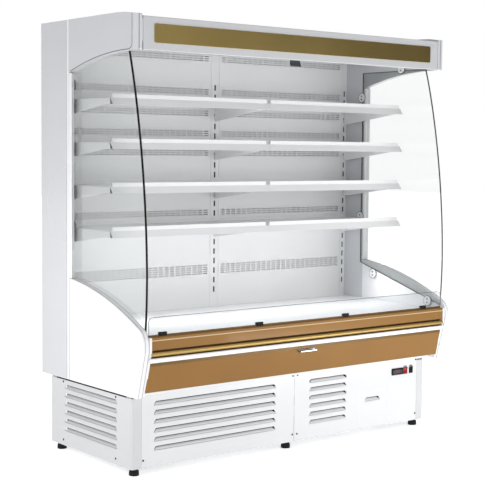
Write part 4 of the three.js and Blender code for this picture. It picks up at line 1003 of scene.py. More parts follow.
@dataclass
class LowerSidePanel:
    """Moulded lower side panel: curved shoulder, rounded nose, slanted toe and a raised bead."""

    side: Side
    shoulder_z: float = 854.2
    tip: Point2 = (-405.0, 680.0)
    radius: float = 1680.0
    nose_y: float = -446.0
    nose_low: float = 580.0
    toe_y: float = -390.0
    bead: float = 12.0
    bead_gap: float = 2.4
    line: float = 2.6
    line_places: tuple[float, ...] = (932.0, 951.0)
    bead_rise: float = 2.0
    rim: float = 15.0
    clamp_places: tuple[Point2, ...] = ((92.0, 781.7), (-321.0, 670.7))

    def outline(self) -> list[Point2]:
        """Side view of the panel, from the shoulder round the nose to the bottom.

        Returns:
            Points in (y, z).
        """
        shoulder = (P.side_front - P.seat, self.shoulder_z)
        top = arc(self.tip, shoulder, self.radius, 24)[::-1]
        turn = curve(
            self.tip, (self.tip[0] - 26, self.tip[1] - 13), (self.nose_y, self.tip[1] - 42),
            (self.nose_y, self.tip[1] - 76), 10,
        )[1:]
        low = curve(
            (self.nose_y, self.nose_low + 9), (self.nose_y, self.nose_low),
            (self.nose_y + 1, self.nose_low - 4), (self.nose_y + 4, self.nose_low - 11), 4,
        )
        return [*top, *turn, *low, (self.toe_y, P.base_top), (P.side_front - P.seat, P.base_top)]

    def plate(self) -> Mesh:
        """The body of the panel."""
        bm = prism(self.outline(), Axis.X, P.inner, P.half - self.bead_rise)
        return soften(bm, 3.0, 3, 50, lambda e: all(v.co.y < P.side_front - 1 for v in e.verts))

    def bead_strip(self) -> Mesh:
        """The raised bead along the top, the nose and the toe.

        Returns:
            The mesh, for the right side.
        """
        start = P.half - self.bead_rise
        bm = bmesh.new()
        face = bm.faces.new([bm.verts.new(lay(Axis.X, start, y, z)) for y, z in self.outline()])
        away = []
        for width in (self.bead_gap, self.bead):
            grown = ops.inset_region(
                bm, faces=[face], thickness=width, use_even_offset=True, use_boundary=True,
            )
            if width == self.bead_gap:
                away += grown["faces"]
        away.append(face)
        for strip in grown["faces"]:
            middle = strip.calc_center_median()
            if middle.y > P.side_front - self.bead or middle.z < P.base_top + self.bead:
                away.append(strip)
        ops.delete(bm, geom=away, context="FACES")
        pull(bm, Axis.X, self.bead_rise)
        high = P.half - self.bead_rise / 2
        return soften(bm, 1.5, 3, 50, lambda e: all(v.co.x > high for v in e.verts))

    def lines(self) -> Mesh:
        """Painted shade: grey lines that follow the panel's edge on both sides of its middle, for the shading
        along the edges of its top.
        """
        edge = band(self.outline()[:-1], 0.25, 1.0)
        return together([prism(edge, Axis.X, x - self.line / 2, x + self.line / 2) for x in self.line_places])

    def inner_rim(self) -> Mesh:
        """Inner flange that the gold front ends against.

        Returns:
            The mesh, for the right side.
        """
        inset = 2.5
        shape = [
            (self.nose_y + inset, P.front_top - inset), (self.nose_y + inset, self.nose_low),
            (self.toe_y + inset, P.base_top + inset), (-348.0, P.base_top + inset),
            (-414.0, 531.0), (-414.0, P.front_top - inset),
        ]
        return soften(prism(shape, Axis.X, P.inner - self.rim, P.inner - 2.5), 0.8, 2)

    def build(self, bench: Bench) -> None:
        """Makes the panel's pieces."""
        bench.piece(
            "side_panel", self.plate(), PANEL_WHITE, side=self.side,
            replaces=["lower_side_panel"],
        )
        bench.piece("side_panel_bead", self.bead_strip(), PANEL_WHITE, side=self.side)
        bench.piece("side_panel_lines", self.lines(), EDGE_SHADE_LINE, side=self.side)
        bench.piece("side_panel_rim", self.inner_rim(), PANEL_WHITE, side=self.side)
        for word, (y, z) in zip(("low_rear", "low_front"), self.clamp_places):
            GlassClamp(self.side, y, z, y, z - POST_OFFSET).build(bench, word)


# ---------------------------------------- canopy


@dataclass
class EndCap:
    """Moulded cap that closes the canopy's end, with ribs round its front corner."""

    side: Side
    tip: Point2 = (-330.0, 1882.0)
    shoulder_z: float = 1805.3
    radius: float = 1692.0
    drop: float = 12.0
    run: float = 146.0
    corner: float = 16.0
    rib_edges: tuple[Point2, ...] = ((939.0, 960.0), (919.5, 934.5))
    line_inset: float = 2.5
    line: float = 4.2
    line_y: float = -351.0
    inner_rib: float = 24.0
    clamp_place: Point2 = (-99.0, 1901.0)

    def plate(self) -> Mesh:
        """The side plate behind the front corner.

        Returns:
            The mesh, for the right side.
        """
        front = P.fascia_y + self.corner
        under = arc(self.tip, (P.side_front - P.seat, self.shoulder_z), self.radius, 20)
        shape = [
            (front, P.fascia_bottom), *under, (P.side_front - P.seat, P.top), (P.fascia_y + self.run, P.top),
            (P.fascia_y + self.run / 2, P.top - self.drop * 0.28), (front, P.top - self.drop),
        ]
        bm = prism(shape, Axis.X, P.inner, P.half)
        return soften(bm, 2.0, 3, 50, lambda e: all(
            front + 1 < v.co.y < P.side_front - 1 for v in e.verts))

    def groove_line(self) -> Mesh:
        """Painted shadow line of the groove that follows the cap's arc and turns up beside the corner.

        Returns:
            The mesh, for the right side.
        """
        shoulder = (P.side_front - 12.0, self.shoulder_z + self.line_inset + 2.0)
        tip = (self.tip[0] + 8.0, self.tip[1] + self.line_inset)
        under = arc(tip, shoulder, self.radius, 20)
        bend = curve(
            under[0], (tip[0] - 22, tip[1] + 4), (self.line_y, tip[1] + 12), (self.line_y, tip[1] + 34), 6,
        )
        path = [(self.line_y, P.top - self.drop - 1.0), *bend[::-1], *under[1:]]
        inner = band(path, 0.0, self.line)
        return prism(inner, Axis.X, P.half - 0.6, P.half + 0.15)

    def ribs(self) -> Mesh:
        """The ribbed front return; the outer rib carries the big corner radius.

        Returns:
            The mesh, for the right side.
        """
        shells = []
        z0, z1 = P.fascia_bottom, P.top - self.drop
        for i, (x0, x1) in enumerate(self.rib_edges):
            rear = P.fascia_y + (self.corner if i == 0 else self.inner_rib)
            bm = box((x0, P.fascia_y, z0), (x1, rear, z1))
            if i == 0:
                soften(bm, self.corner - 0.5, 8, 60, lambda e: all(
                    v.co.x > P.half - 1 and v.co.y < P.fascia_y + 1 for v in e.verts))
            soften(bm, 5.5, 4, 60, lambda e: all(v.co.y < P.fascia_y + 1 for v in e.verts)
                   and abs(e.verts[0].co.z - e.verts[1].co.z) < 1)
            soften(bm, 1.4, 2, 50, lambda e: all(v.co.y < P.fascia_y + 7 for v in e.verts))
            shells.append(bm)
        return together(shells)

    def build(self, bench: Bench) -> None:
        """Makes the cap's pieces."""
        bench.piece(
            "canopy_cap", self.plate(), GREY, side=self.side, replaces=["end_cap"],
        )
        bench.piece("canopy_cap_ribs", self.ribs(), GREY, side=self.side)
        bench.piece("canopy_cap_line", self.groove_line(), CAP_SHADOW_LINE, side=self.side)
        y, z = self.clamp_place
        GlassClamp(self.side, y, z, y, z + POST_OFFSET).build(bench, "top")


@dataclass
class Canopy:
    """White fascia, its gold strip, the light box behind it and the lamp under it."""

    half: float = 915.7
    sheet: float = 3.0
    lip: float = 19.0
    lip_rise: float = 10.0
    strip_half: float = 859.0
    strip_low: float = 1916.0
    strip_high: float = 1999.0
    strip_corner: float = 8.0
    lamp_half: float = 850.0
    lamp_width: float = 36.0
    lamp_back: float = 29.5
    lamp_holder: float = 22.0
    roof_end: float = 27.0

    def fascia(self) -> Mesh:
        """Fascia sheet folded back over the roof and under the front.

        Returns:
            The mesh.
        """
        path = [
            (P.canopy_rear, P.roof - 0.5), (P.fascia_y, P.fascia_top), (P.fascia_y, P.fascia_bottom),
            (P.fascia_y + self.lip, P.fascia_bottom),
            (P.fascia_y + self.lip, P.fascia_bottom + self.lip_rise),
        ]
        return sheet_metal(path, Axis.X, -self.half, self.half, -2.0, 4.0, 4)

    def top_ends(self) -> Mesh:
        """The fascia's roof sheet where it runs on over the end caps' inner sides.

        Returns:
            The mesh.
        """
        shells = []
        for side in Side:
            lo, hi = side_span(side, self.half + 0.2, P.inner - P.seat)
            slope = (P.roof - P.fascia_top) / (P.canopy_rear - P.fascia_y)
            front = P.fascia_y + self.roof_end
            z = P.fascia_top + self.roof_end * slope
            shells.append(prism(
                [(front, z - 2.5), (P.canopy_rear, P.roof - 3), (P.canopy_rear, P.roof - 0.5), (front, z)],
                Axis.X, lo, hi,
            ))
        return together(shells)

    def light_box(self) -> Mesh:
        """Folded light box that carries the lamp.

        Returns:
            The mesh.
        """
        y0, y1 = P.fascia_y + 3.5, P.fascia_y + 56.0
        top = P.fascia_top - 2.0
        path = [(y0, top - 8), (y0, P.light_box_z), (y1, P.light_box_z), (y1, top + 2), (y1 - 20, top + 1)]
        return sheet_metal(path, Axis.X, -P.inner + 1, P.inner - 1, -1.2, 2.0)

    def lamp(self) -> Mesh:
        """Opal diffuser of the lamp batten.

        Returns:
            The mesh.
        """
        y = P.fascia_y + self.lamp_back
        top = P.light_box_z - P.seat
        steps = 14
        half = self.lamp_width / 2
        bow = [
            (y - half * math.cos(math.pi * i / steps), top - 8 - 16 * math.sin(math.pi * i / steps))
            for i in range(steps + 1)
        ]
        section = [(y - half, top), *bow, (y + half, top)]
        return prism(section, Axis.X, -self.lamp_half + self.lamp_holder, self.lamp_half - self.lamp_holder)

    def lamp_ends(self) -> Mesh:
        """End holders of the lamp.

        Returns:
            The mesh.
        """
        y = P.fascia_y + self.lamp_back
        top = P.light_box_z - P.seat
        shells = []
        for side in Side:
            lo, hi = side_span(side, self.lamp_half - self.lamp_holder + 0.2, self.lamp_half)
            shells.append(soften(box((lo, y - 18, top - 24), (hi, y + 18, top)), 3.0, 3))
        return together(shells)

    def build(self, bench: Bench) -> None:
        """Makes the canopy's pieces."""
        # The fascia's grey is painted shade on white enamel.
        bench.piece("canopy_fascia", self.fascia(), FASCIA_SHADED, replaces=["canopy_housing"])
        bench.piece("canopy_top_ends", self.top_ends(), WHITE)
        bench.piece("canopy_light_box", self.light_box(), INNER_WHITE)
        half = self.strip_half
        outline = rounded(-half, half, self.strip_low, self.strip_high, self.strip_corner, 8)
        strip = prism(outline, Axis.Y, P.fascia_y - 3.3, P.fascia_y - 0.3)
        soften(strip, 0.8, 2, 50)
        bench.piece("canopy_strip", strip, GOLD_STRIP, replaces=["canopy_gold_strip"])
        bench.piece("lamp_diffuser", self.lamp(), LAMP, replaces=["canopy_lamp"])
        bench.piece("lamp_holders", self.lamp_ends(), INNER_WHITE)


@dataclass
class Ceiling:
    """Ceiling sheet with the honeycomb air discharge at its front."""

    front: float = -206.7
    slot_depth: float = 84.0
    columns: int = 92
    rows: int = 5
    web: float = 3.0

    def build(self, bench: Bench) -> None:
        """Makes the ceiling's pieces."""
        half = P.inner - P.seat
        z = P.ceiling
        rear = self.front + 16 + self.slot_depth
        sheet = sheet_metal(
            [(P.panel_y + 3, z), (rear, z), (rear, z + 30)], Axis.X, -half, half, 1.5, 2.0,
        )
        bench.piece("ceiling_sheet", sheet, INNER_WHITE, replaces=["ceiling_air_panel"])
        lip = sheet_metal(
            [(self.front + 14, z + 6), (self.front + 14, z), (self.front, z), (self.front, z + 54)],
            Axis.X, -half, half, 1.5, 2.0,
        )
        bench.piece("ceiling_front_lip", lip, INNER_WHITE)
        cell = HoneyGrid(self.columns, self.rows, self.web)
        grid = cell.mesh((-half + 6, self.front + 15.5), (half - 6, rear - 1.5), z + 2, 12.0)
        bench.piece("air_discharge_grid", grid, INNER_WHITE)


@dataclass
class HoneyGrid:
    """Grid of thin webs, as an air straightener has."""

    columns: int
    rows: int
    web: float

    def mesh(self, lo: Point2, hi: Point2, z: float, height: float) -> Mesh:
        """The grid between two corners.

        Args:
            lo: Low corner in (x, y).
            hi: High corner in (x, y).
            z: Bottom of the webs.
            height: Height of the webs.

        Returns:
            The mesh.
        """
        bm = bmesh.new()
        ops.create_grid(bm, x_segments=self.columns, y_segments=self.rows, size=0.5)
        span = Vector((hi[0] - lo[0], hi[1] - lo[1], 1.0))
        ops.scale(bm, vec=span, verts=bm.verts[:])
        centre = Vector(((lo[0] + hi[0]) / 2, (lo[1] + hi[1]) / 2, z))
        ops.translate(bm, vec=centre, verts=bm.verts[:])
        cells = bm.faces[:]
        ops.inset_individual(bm, faces=cells, thickness=self.web / 2, use_even_offset=True)
        ops.delete(bm, geom=cells, context="FACES")
        return pull(bm, Axis.Z, height)


# ---------------------------------------- sheets with holes


@dataclass
class SlotSheet:
    """Flat sheet made from a grid of cells, with a round-ended slot in each chosen cell."""

    axis: Axis
    us: Sequence[float]
    vs: Sequence[float]
    web: float
    end_round: float = 1.5

    def mesh(self, lo: float, hi: float, is_slot: Callable[[float, float], bool]) -> Mesh:
        """Punches and thickens the sheet.

        Args:
            lo: First face of the sheet along its axis.
            hi: Other face of the sheet.
            is_slot: True for the middle of a cell that holds a slot.

        Returns:
            The mesh.
        """
        bm = cell_grid(self.axis, self.us, self.vs, lo)
        _, u, v = self.axis.value
        cells = []
        for face in bm.faces:
            middle = face.calc_center_bounds()
            if is_slot(middle[u], middle[v]):
                cells.append(face)
        ops.inset_individual(bm, faces=cells, thickness=self.web, use_even_offset=True)
        marks = {place_key(face.calc_center_bounds()) for face in cells}
        corners = {vert for face in cells for vert in face.verts}
        if self.end_round > 0:
            ops.bevel(
                bm, geom=list(corners), offset=self.end_round, segments=2, profile=0.5,
                affect="VERTICES", material=-1,
            )
        holes = [face for face in bm.faces if place_key(face.calc_center_bounds()) in marks]
        ops.delete(bm, geom=holes, context="FACES")
        return pull(bm, self.axis, hi - lo)


def place_key(point: Vector) -> tuple[float, ...]:
    """A point rounded so that it can be looked up."""
    return tuple(round(c, 2) + 0.0 for c in point)


def cell_grid(axis: Axis, us: Sequence[float], vs: Sequence[float], along: float) -> Mesh:
    """A flat grid with its lines at the given places.

    Args:
        axis: The grid's normal.
        us: Line places in the first outline coordinate.
        vs: Line places in the second.
        along: Place of the grid along the axis.

    Returns:
        The mesh.
    """
    bm = bmesh.new()
    nu, nv = len(us) - 1, len(vs) - 1
    ops.create_grid(bm, x_segments=nu, y_segments=nv, size=0.5)
    for vert in bm.verts:
        i = round((vert.co.x + 0.5) * nu)
        k = round((vert.co.y + 0.5) * nv)
        vert.co = lay(axis, along, us[i], vs[k])
    bm.normal_update()
    return bm


def pull(bm: Mesh, axis: Axis, length: float) -> Mesh:
    """Pulls a flat mesh along an axis into a closed one."""
    grown = ops.extrude_face_region(bm, geom=bm.faces[:], use_keep_orig=True)
    verts = [item for item in grown["geom"] if isinstance(item, bmesh.types.BMVert)]
    ops.translate(bm, verts=verts, vec=step_along(axis, length))
    ops.recalc_face_normals(bm, faces=bm.faces[:])
    return bm


@dataclass(frozen=True)
class Window:
    """A rectangular opening in outline coordinates, its upper edge shorter by a taper at each end."""

    u0: float
    u1: float
    v0: float
    v1: float
    taper: float = 0.0

    def holds(self, u: float, v: float) -> bool:
        """True for a point inside the opening."""
        return self.u0 < u < self.u1 and self.v0 < v < self.v1


def pierced(
    axis: Axis, field: Window, lo: float, hi: float, windows: Sequence[Window],
) -> Mesh:
    """Flat sheet with rectangular openings.

    Args:
        axis: The sheet's normal.
        field: Outer edges of the sheet.
        lo: First face along the axis.
        hi: Other face.
        windows: The openings.

    Returns:
        The mesh.
    """
    us = stops(field.u0, field.u1, [u for w in windows for u in (w.u0, w.u1)])
    vs = stops(field.v0, field.v1, [v for w in windows for v in (w.v0, w.v1)])
    bm = cell_grid(axis, us, vs, lo)
    _, u, v = axis.value
    holes = []
    for face in bm.faces:
        middle = face.calc_center_bounds()
        if any(w.holds(middle[u], middle[v]) for w in windows):
            holes.append(face)
    ops.delete(bm, geom=holes, context="FACES")
    for window in windows:
        if window.taper:
            for vert in bm.verts:
                if abs(vert.co[v] - window.v1) < 1e-3:
                    if abs(vert.co[u] - window.u0) < 1e-3:
                        vert.co[u] += window.taper
                    elif abs(vert.co[u] - window.u1) < 1e-3:
                        vert.co[u] -= window.taper
    return pull(bm, axis, hi - lo)


def stops(lo: float, hi: float, marks: Iterable[float]) -> list[float]:
    """Sorted grid lines between two limits."""
    inside = {round(mark, 4) for mark in marks if lo < mark < hi}
    return sorted({round(lo, 4), round(hi, 4), *inside})


# ---------------------------------------- back wall and uprights


@dataclass
class BackWall:
    """Two punched back panels, the slotted middle upright and the two end uprights."""

    sheet: float = 2.0
    upright_sheet: float = 3.0
    liner: float = 13.0
    half_upright: float = 26.0
    seam: float = 1.4
    end_upright: float = 36.0
    slot_column: float = 912.0
    low: float = 632.7
    band_start: float = 39.0
    vent_pitch: float = 35.0
    row_pitch: float = 11.0
    vent_web: float = 3.5
    bands: tuple[float, ...] = (1926.0, 1756.0, 1646.0, 1542.0, 1442.0, 1284.0, 1134.0)
    band_rows: int = 3
    low_band: float = 836.0
    low_rows: int = 5
    first_slot: float = 729.0
    slot_pitch: float = 50.0
    slots: int = 22
    slot_size: Point2 = (10.0, 29.0)
    liner_half: float = 16.0

    def rows(self) -> list[float]:
        """Middles of all the rows of vent slots."""
        rows = [z + (i - (self.band_rows - 1) / 2) * self.row_pitch
                for z in self.bands for i in range(self.band_rows)]
        low = [self.low_band + (i - (self.low_rows - 1) / 2) * self.row_pitch for i in range(self.low_rows)]
        return rows + low

    def panel(self) -> Mesh:
        """Punched panel of the right bay.

        Returns:
            The mesh.
        """
        x0 = self.half_upright + self.seam
        x1 = P.inner - self.end_upright - self.seam
        start = self.band_start
        count = int((x1 - 12 - start) // self.vent_pitch)
        columns = [start + i * self.vent_pitch for i in range(count + 1)]
        half = self.row_pitch / 2
        levels = [z + s * half for z in self.rows() for s in (-1, 1)]
        grid = SlotSheet(
            Axis.Y, stops(x0, x1, columns), stops(self.low, P.ceiling - P.seat, levels), self.vent_web, 1.2,
        )
        rows = self.rows()
        return grid.mesh(P.panel_y, P.panel_y + self.sheet, lambda x, z: (
            columns[0] < x < columns[-1] and any(abs(z - row) < 0.5 for row in rows)))

    def slotted(self, lo: float, hi: float, column: float) -> Mesh:
        """Face of an upright with its column of hook slots.

        Args:
            lo: Left edge.
            hi: Right edge.
            column: Middle of the slots.

        Returns:
            The mesh.
        """
        web = 3.0
        reach, rise = self.slot_size[0] / 2 + web, self.slot_size[1] / 2 + web
        middles = [self.first_slot + i * self.slot_pitch for i in range(self.slots)]
        grid = SlotSheet(
            Axis.Y, stops(lo, hi, [column - reach, column + reach]),
            stops(P.tub_floor + P.seat, P.ceiling - P.seat, [z + s * rise for z in middles for s in (-1, 1)]),
            web, 1.2,
        )
        return grid.mesh(P.panel_y, P.panel_y + self.upright_sheet, lambda x, z: (
            abs(x - column) < 0.5 and any(abs(z - middle) < 0.5 for middle in middles)))

    def build(self, bench: Bench) -> None:
        """Makes the back wall's pieces."""
        z0, z1 = P.tub_floor + P.seat, P.ceiling - P.seat
        x0, x1 = self.half_upright + P.seat, P.inner - self.end_upright - P.seat
        for side in Side:
            bench.piece(
                "back_wall", self.panel(), INNER_WHITE, side=side, replaces=["back_panel"],
            )
            ledge = sheet_metal(
                [(P.panel_y - 12, self.low + 2), (P.panel_y + 2, self.low + 2),
                 (P.panel_y + 2, self.low - 14)],
                Axis.X, x0, x1, 1.5, 1.0,
            )
            bench.piece("back_ledge", ledge, INNER_WHITE, side=side)
            post = self.slotted(P.inner - self.end_upright, P.inner - 0.05, self.slot_column)
            bench.piece("end_upright", post, INNER_WHITE, side=side)
        bench.piece(
            "middle_upright_face", self.slotted(-self.half_upright, self.half_upright, 0.0), INNER_WHITE,
            replaces=["upright_middle"],
        )
        flanges = []
        for side in Side:
            lo, hi = side_span(side, self.half_upright, self.half_upright - self.upright_sheet)
            flanges.append(box((lo, P.panel_y + self.upright_sheet, z0), (hi, P.insulation_y - P.seat, z1)))
        bench.piece("middle_upright_flanges", soften(together(flanges), 0.5, 2), INNER_WHITE)
        # Painted shade: black strips behind the uprights' slots, for the dark inside of the hollow uprights.
        shade_liners = [
            box((x - self.liner_half, P.panel_y + self.liner, z0),
                (x + self.liner_half, P.panel_y + self.liner + 2, z1))
            for x in (-self.slot_column, 0.0, self.slot_column)
        ]
        bench.piece("upright_shade_liners", together(shade_liners), SEAL_BLACK)


# ---------------------------------------- shelves


@dataclass
class Shelf:
    """Shelf tray with its folded ticket rail and lip, on two tapered hook brackets."""

    side: Side
    level: int
    front: float = -129.0
    rise: float = 31.0
    slope: float = 22.0
    lip: float = 18.0
    gauge: float = 2.5
    rear_lip: float = 14.0
    bracket_drop: float = 52.0
    bracket: float = 2.0
    right: float = 913.3
    hook: float = 9.0
    hook_height: float = 14.0
    slot_drop: float = 23.0
    hook_drops: Point2 = (12.7, 59.0)
    lowest: float = 1056.0
    pitch: float = 200.0

    @property
    def low(self) -> float:
        """Bottom of the ticket rail."""
        return self.lowest + self.pitch * self.level

    def tray(self) -> Mesh:
        """The tray, its ticket rail and its rear lip, folded from one sheet.

        Returns:
            The mesh, for the right bay.
        """
        t, z0, top = self.gauge, self.low, self.low + self.rise
        lip_y = self.front + self.slope
        rear = P.panel_y - P.seat
        bm = prism([
            (self.front, z0), (lip_y, z0), (lip_y, z0 + t), (self.front + t * 1.6, z0 + t),
            (lip_y + t * 1.2, top - t), (rear, top - t), (rear, top + self.rear_lip),
            (rear - t, top + self.rear_lip), (rear - t, top), (lip_y - t * 0.2, top),
        ], Axis.X, P.seat, self.right)
        return soften(bm, 1.0, 3, 25)

    def lip_strip(self) -> Mesh:
        """Front lip of the tray, with round ends that stop short of the rail's ends.

        Returns:
            The mesh, for the right bay.
        """
        y = self.front + self.slope - self.gauge * 0.2
        top = self.low + self.rise
        outline = rounded(P.seat + 12, self.right - 11, top - 6, top + self.lip, 5.0, 5)
        return soften(prism(outline, Axis.Y, y, y + self.gauge), 0.7, 2, 50)

    def brackets(self) -> Mesh:
        """Both tapered brackets with the hooks that sit in the upright's slots.

        Returns:
            The mesh, for the right bay.
        """
        z0, top = self.low, self.low + self.rise
        lip_y, rear = self.front + self.slope, P.panel_y - P.seat
        shape = [
            (lip_y - 2, z0 + 1.2), (lip_y + 40, z0 + 1.2), (rear, z0 - self.bracket_drop),
            (rear, top - 2.6), (lip_y + 4, top - 2.6),
        ]
        slot = z0 + self.slot_drop
        shells = []
        for x in (P.seat, self.right - self.bracket):
            shells.append(soften(prism(shape, Axis.X, x, x + self.bracket), 0.5, 2, 40))
            for drop in self.hook_drops:
                low = slot - drop
                high = low + self.hook_height
                reach = P.panel_y + 3 + self.hook
                claw = [
                    (rear - 1, low), (P.panel_y + 3.4, low), (P.panel_y + 3.4, low - 6), (reach, low - 6),
                    (reach, high - 3), (reach - 3, high), (rear - 1, high),
                ]
                shells.append(prism(claw, Axis.X, x + 0.05, x + self.bracket - 0.05))
        return together(shells)

    def build(self, bench: Bench) -> None:
        """Makes the shelf's pieces."""
        name = f"{self.side.word}_{self.level + 1}"
        bench.piece(
            f"shelf_tray_{name}", handed(self.tray(), self.side), INNER_WHITE, replaces=[f"shelf_{name}"],
        )
        bench.piece(f"shelf_lip_{name}", handed(self.lip_strip(), self.side), INNER_WHITE)
        bench.piece(f"shelf_brackets_{name}", handed(self.brackets(), self.side), INNER_WHITE)


# ---------------------------------------- display tub and gold front


@dataclass
class DeckPan:
    """Deck of one bay with its return air slots."""

    side: Side
    gauge: float = 3.0
    slots: int = 9
    slot_web: float = 13.5
    rows: tuple[float, ...] = (-363.5, -345.5)
    slot_width: float = 9.0

    def build(self, bench: Bench) -> None:
        """Makes the deck."""
        x1 = P.inner - P.seat
        pitch = (x1 - P.seat) / self.slots
        web = 3.0
        columns = []
        for i in range(self.slots):
            middle = P.seat + (i + 0.5) * pitch
            half = pitch / 2 - self.slot_web + web
            columns += [middle - half, middle + half]
        half = self.slot_width / 2 + web
        lines = [y + s * half for y in self.rows for s in (-1, 1)]
        y0 = P.tub_front + P.deck_lap
        grid = SlotSheet(Axis.Z, stops(P.seat, x1, columns), stops(y0, P.panel_y - P.seat, lines), web, 3.4)
        deck = grid.mesh(P.deck_top - self.gauge, P.deck_top, lambda x, y: (
            any(abs(y - row) < 0.6 for row in self.rows)
            and any(columns[2 * i] < x < columns[2 * i + 1] for i in range(self.slots))))
        bench.piece("deck", deck, INNER_WHITE, side=self.side, replaces=["deck_pan"])


@dataclass
class GoldFront:
    """Gold front: upper panel, bright rail, white bumper, lower panel and the blind's catch."""

    half: float = 914.7
    gauge: float = 3.0
    panel_y: float = -442.0
    panel_low: float = 588.0
    fold: float = 15.0
    rail: Point2 = (560.0, 579.0)
    rail_nose: float = -447.0
    bumper: Point2 = (533.5, 553.5)
    bumper_half: float = 924.0
    lower_half: float = 919.0
    step_y: float = -424.0
    step_low: float = 516.0
    toe: Point2 = (-395.0, 394.5)
    catch_x: Point2 = (-60.0, 40.0)
    catch_z: Point2 = (499.0, 512.0)
    catch_reach: float = 22.0

    def upper(self) -> Mesh:
        """Upper panel with its rolled top fold.

        Returns:
            The mesh.
        """
        t, y, top = self.gauge, self.panel_y, P.front_top
        back, rear = P.tub_front - P.seat, P.tub_front + P.deck_lap
        bm = prism([
            (y, self.panel_low), (back, self.panel_low), (back, self.panel_low + t),
            (y + t, self.panel_low + t),
            (y + t, top - t), (rear - 2 * t, top - t), (rear - 2 * t, 635.3), (rear - t, 635.3),
            (rear - t, top), (y + self.fold, top), (y, top - self.fold),
        ], Axis.X, -self.half, self.half)
        return soften(bm, 1.2, 3, 30)

    def painted_fold_highlight(self) -> Mesh:
        """Painted highlight: a lighter, less metallic gold strip along the upper panel's top fold, where the
        fold's sheen falls.

        Returns:
            The mesh.
        """
        y, z = self.panel_y, P.front_top - self.fold
        path = [(y + 0.1, z - 2.4), (y + 0.2, z - 0.6), (y + 0.6, z + 0.5), (y + 2.0, z + 2.0)]
        return prism(band(path, 0.25, 0.25), Axis.X, -self.half, self.half)

    def carrier(self) -> Mesh:
        """Channel behind the rail and the bumper, down to the step under the bumper, in a darker gold that is
        painted shade under the bumper's overhang.

        Returns:
            The mesh.
        """
        back, face, low = P.tub_front - P.seat, self.step_y, self.step_low
        return prism([
            (face + self.gauge, self.panel_low), (face + self.gauge, self.bumper[0]),
            (face - 0.5, self.bumper[0]), (face - 0.5, low), (back, low), (back, self.panel_low),
        ], Axis.X, -self.half, self.half)

    def nosed(
        self, span: Point2, nose: float, share: float, flat: float, half: float,
    ) -> Mesh:
        """A rail with a rounded nose on a neck that reaches the tub.

        Args:
            span: Bottom and top.
            nose: Foremost plane.
            share: Depth of the nose over its half height.
            flat: Exponent of the nose's section; 2 is an ellipse and more is squarer.
            half: Half its length.

        Returns:
            The mesh.
        """
        low, high = span
        radius, middle = (high - low) / 2, (low + high) / 2
        run = radius * share
        back = P.tub_front - P.seat
        steps = 16
        bow = []
        for i in range(steps + 1):
            angle = math.pi / 2 + math.pi * i / steps
            c, s = math.cos(angle), math.sin(angle)
            bow.append((
                nose + run + run * math.copysign(abs(c) ** (2 / flat), c),
                middle + radius * math.copysign(abs(s) ** (2 / flat), s),
            ))
        neck = radius * 0.5
        shape = [
            (back, middle + neck), (nose + run + 3, middle + neck), (nose + run + 3, high), *bow,
            (nose + run + 3, low), (nose + run + 3, middle - neck), (back, middle - neck),
        ]
        return prism(shape, Axis.X, -half, half)

    def lower(self) -> Mesh:
        """Lower panel: slanted face and toe fold.

        Returns:
            The mesh.
        """
        t, (toe_y, toe_z), back = self.gauge, self.toe, P.tub_front - P.seat
        low = self.step_low
        bm = prism([
            (back, low), (self.step_y, low), (toe_y, toe_z), (toe_y + 3 * t, toe_z),
            (toe_y + 3 * t, toe_z + t), (toe_y + t * 1.2, toe_z + t), (self.step_y + t * 1.2, low - t),
            (back, low - t),
        ], Axis.X, -self.lower_half, self.lower_half)
        return soften(bm, 1.1, 3, 18)

    def catch(self) -> Mesh:
        """Hooked catch that keeps the blind down.

        Returns:
            The mesh.
        """
        slope = (self.toe[0] - self.step_y) / (self.step_low - self.toe[1])
        low, high = self.catch_z

        def face(z: float) -> float:
            """Plane of the gold panel at a height."""
            return self.step_y + (self.step_low - z) * slope - 0.4

        reach = face(low) - self.catch_reach
        bm = prism([
            (face(low), low), (face(low) - 2, low), (reach, low + 3), (reach, low + 8),
            (reach + 2.4, low + 8), (reach + 2.4, low + 5), (face(low) - 3, low + 2.6),
            (face(high) - 2.4, high), (face(high), high),
        ], Axis.X, *self.catch_x)
        return soften(bm, 0.6, 2, 40)

    def build(self, bench: Bench) -> None:
        """Makes the front's pieces."""
        bench.piece("gold_panel_upper", self.upper(), GOLD, replaces=["front_panel_upper"])
        # The fold strip is a painted highlight, not wear.
        bench.piece("gold_fold_line", self.painted_fold_highlight(), GOLD_FOLD_HIGHLIGHT)
        rail = self.nosed(self.rail, self.rail_nose, 0.8, 2.0, self.half)
        bench.piece("gold_rail_bright", rail, GOLD_RAIL, replaces=["front_rail"])
        bumper = self.nosed(self.bumper, P.front, 0.8, 2.6, self.bumper_half)
        bench.piece("bumper_strip", bumper, BUMPER, replaces=["front_bumper"])
        bench.piece("bumper_carrier", self.carrier(), GOLD_SHADED)
        bench.piece("gold_panel_lower", self.lower(), GOLD, replaces=["front_panel_lower"])
        bench.piece("blind_catch_hook", self.catch(), STEEL, replaces=["blind_catch"])
        screws = [
            turned([(0, -1.2), (2.6, -1.2), (3.4, 0.2), (0, 0.2)], (x, self.step_y + 1.4, 506.0), Axis.Y, 14)
            for x in (self.catch_x[0] + 14, self.catch_x[1] - 14)
        ]
        bench.piece("blind_catch_screws", together(screws), SEAL_GREY)


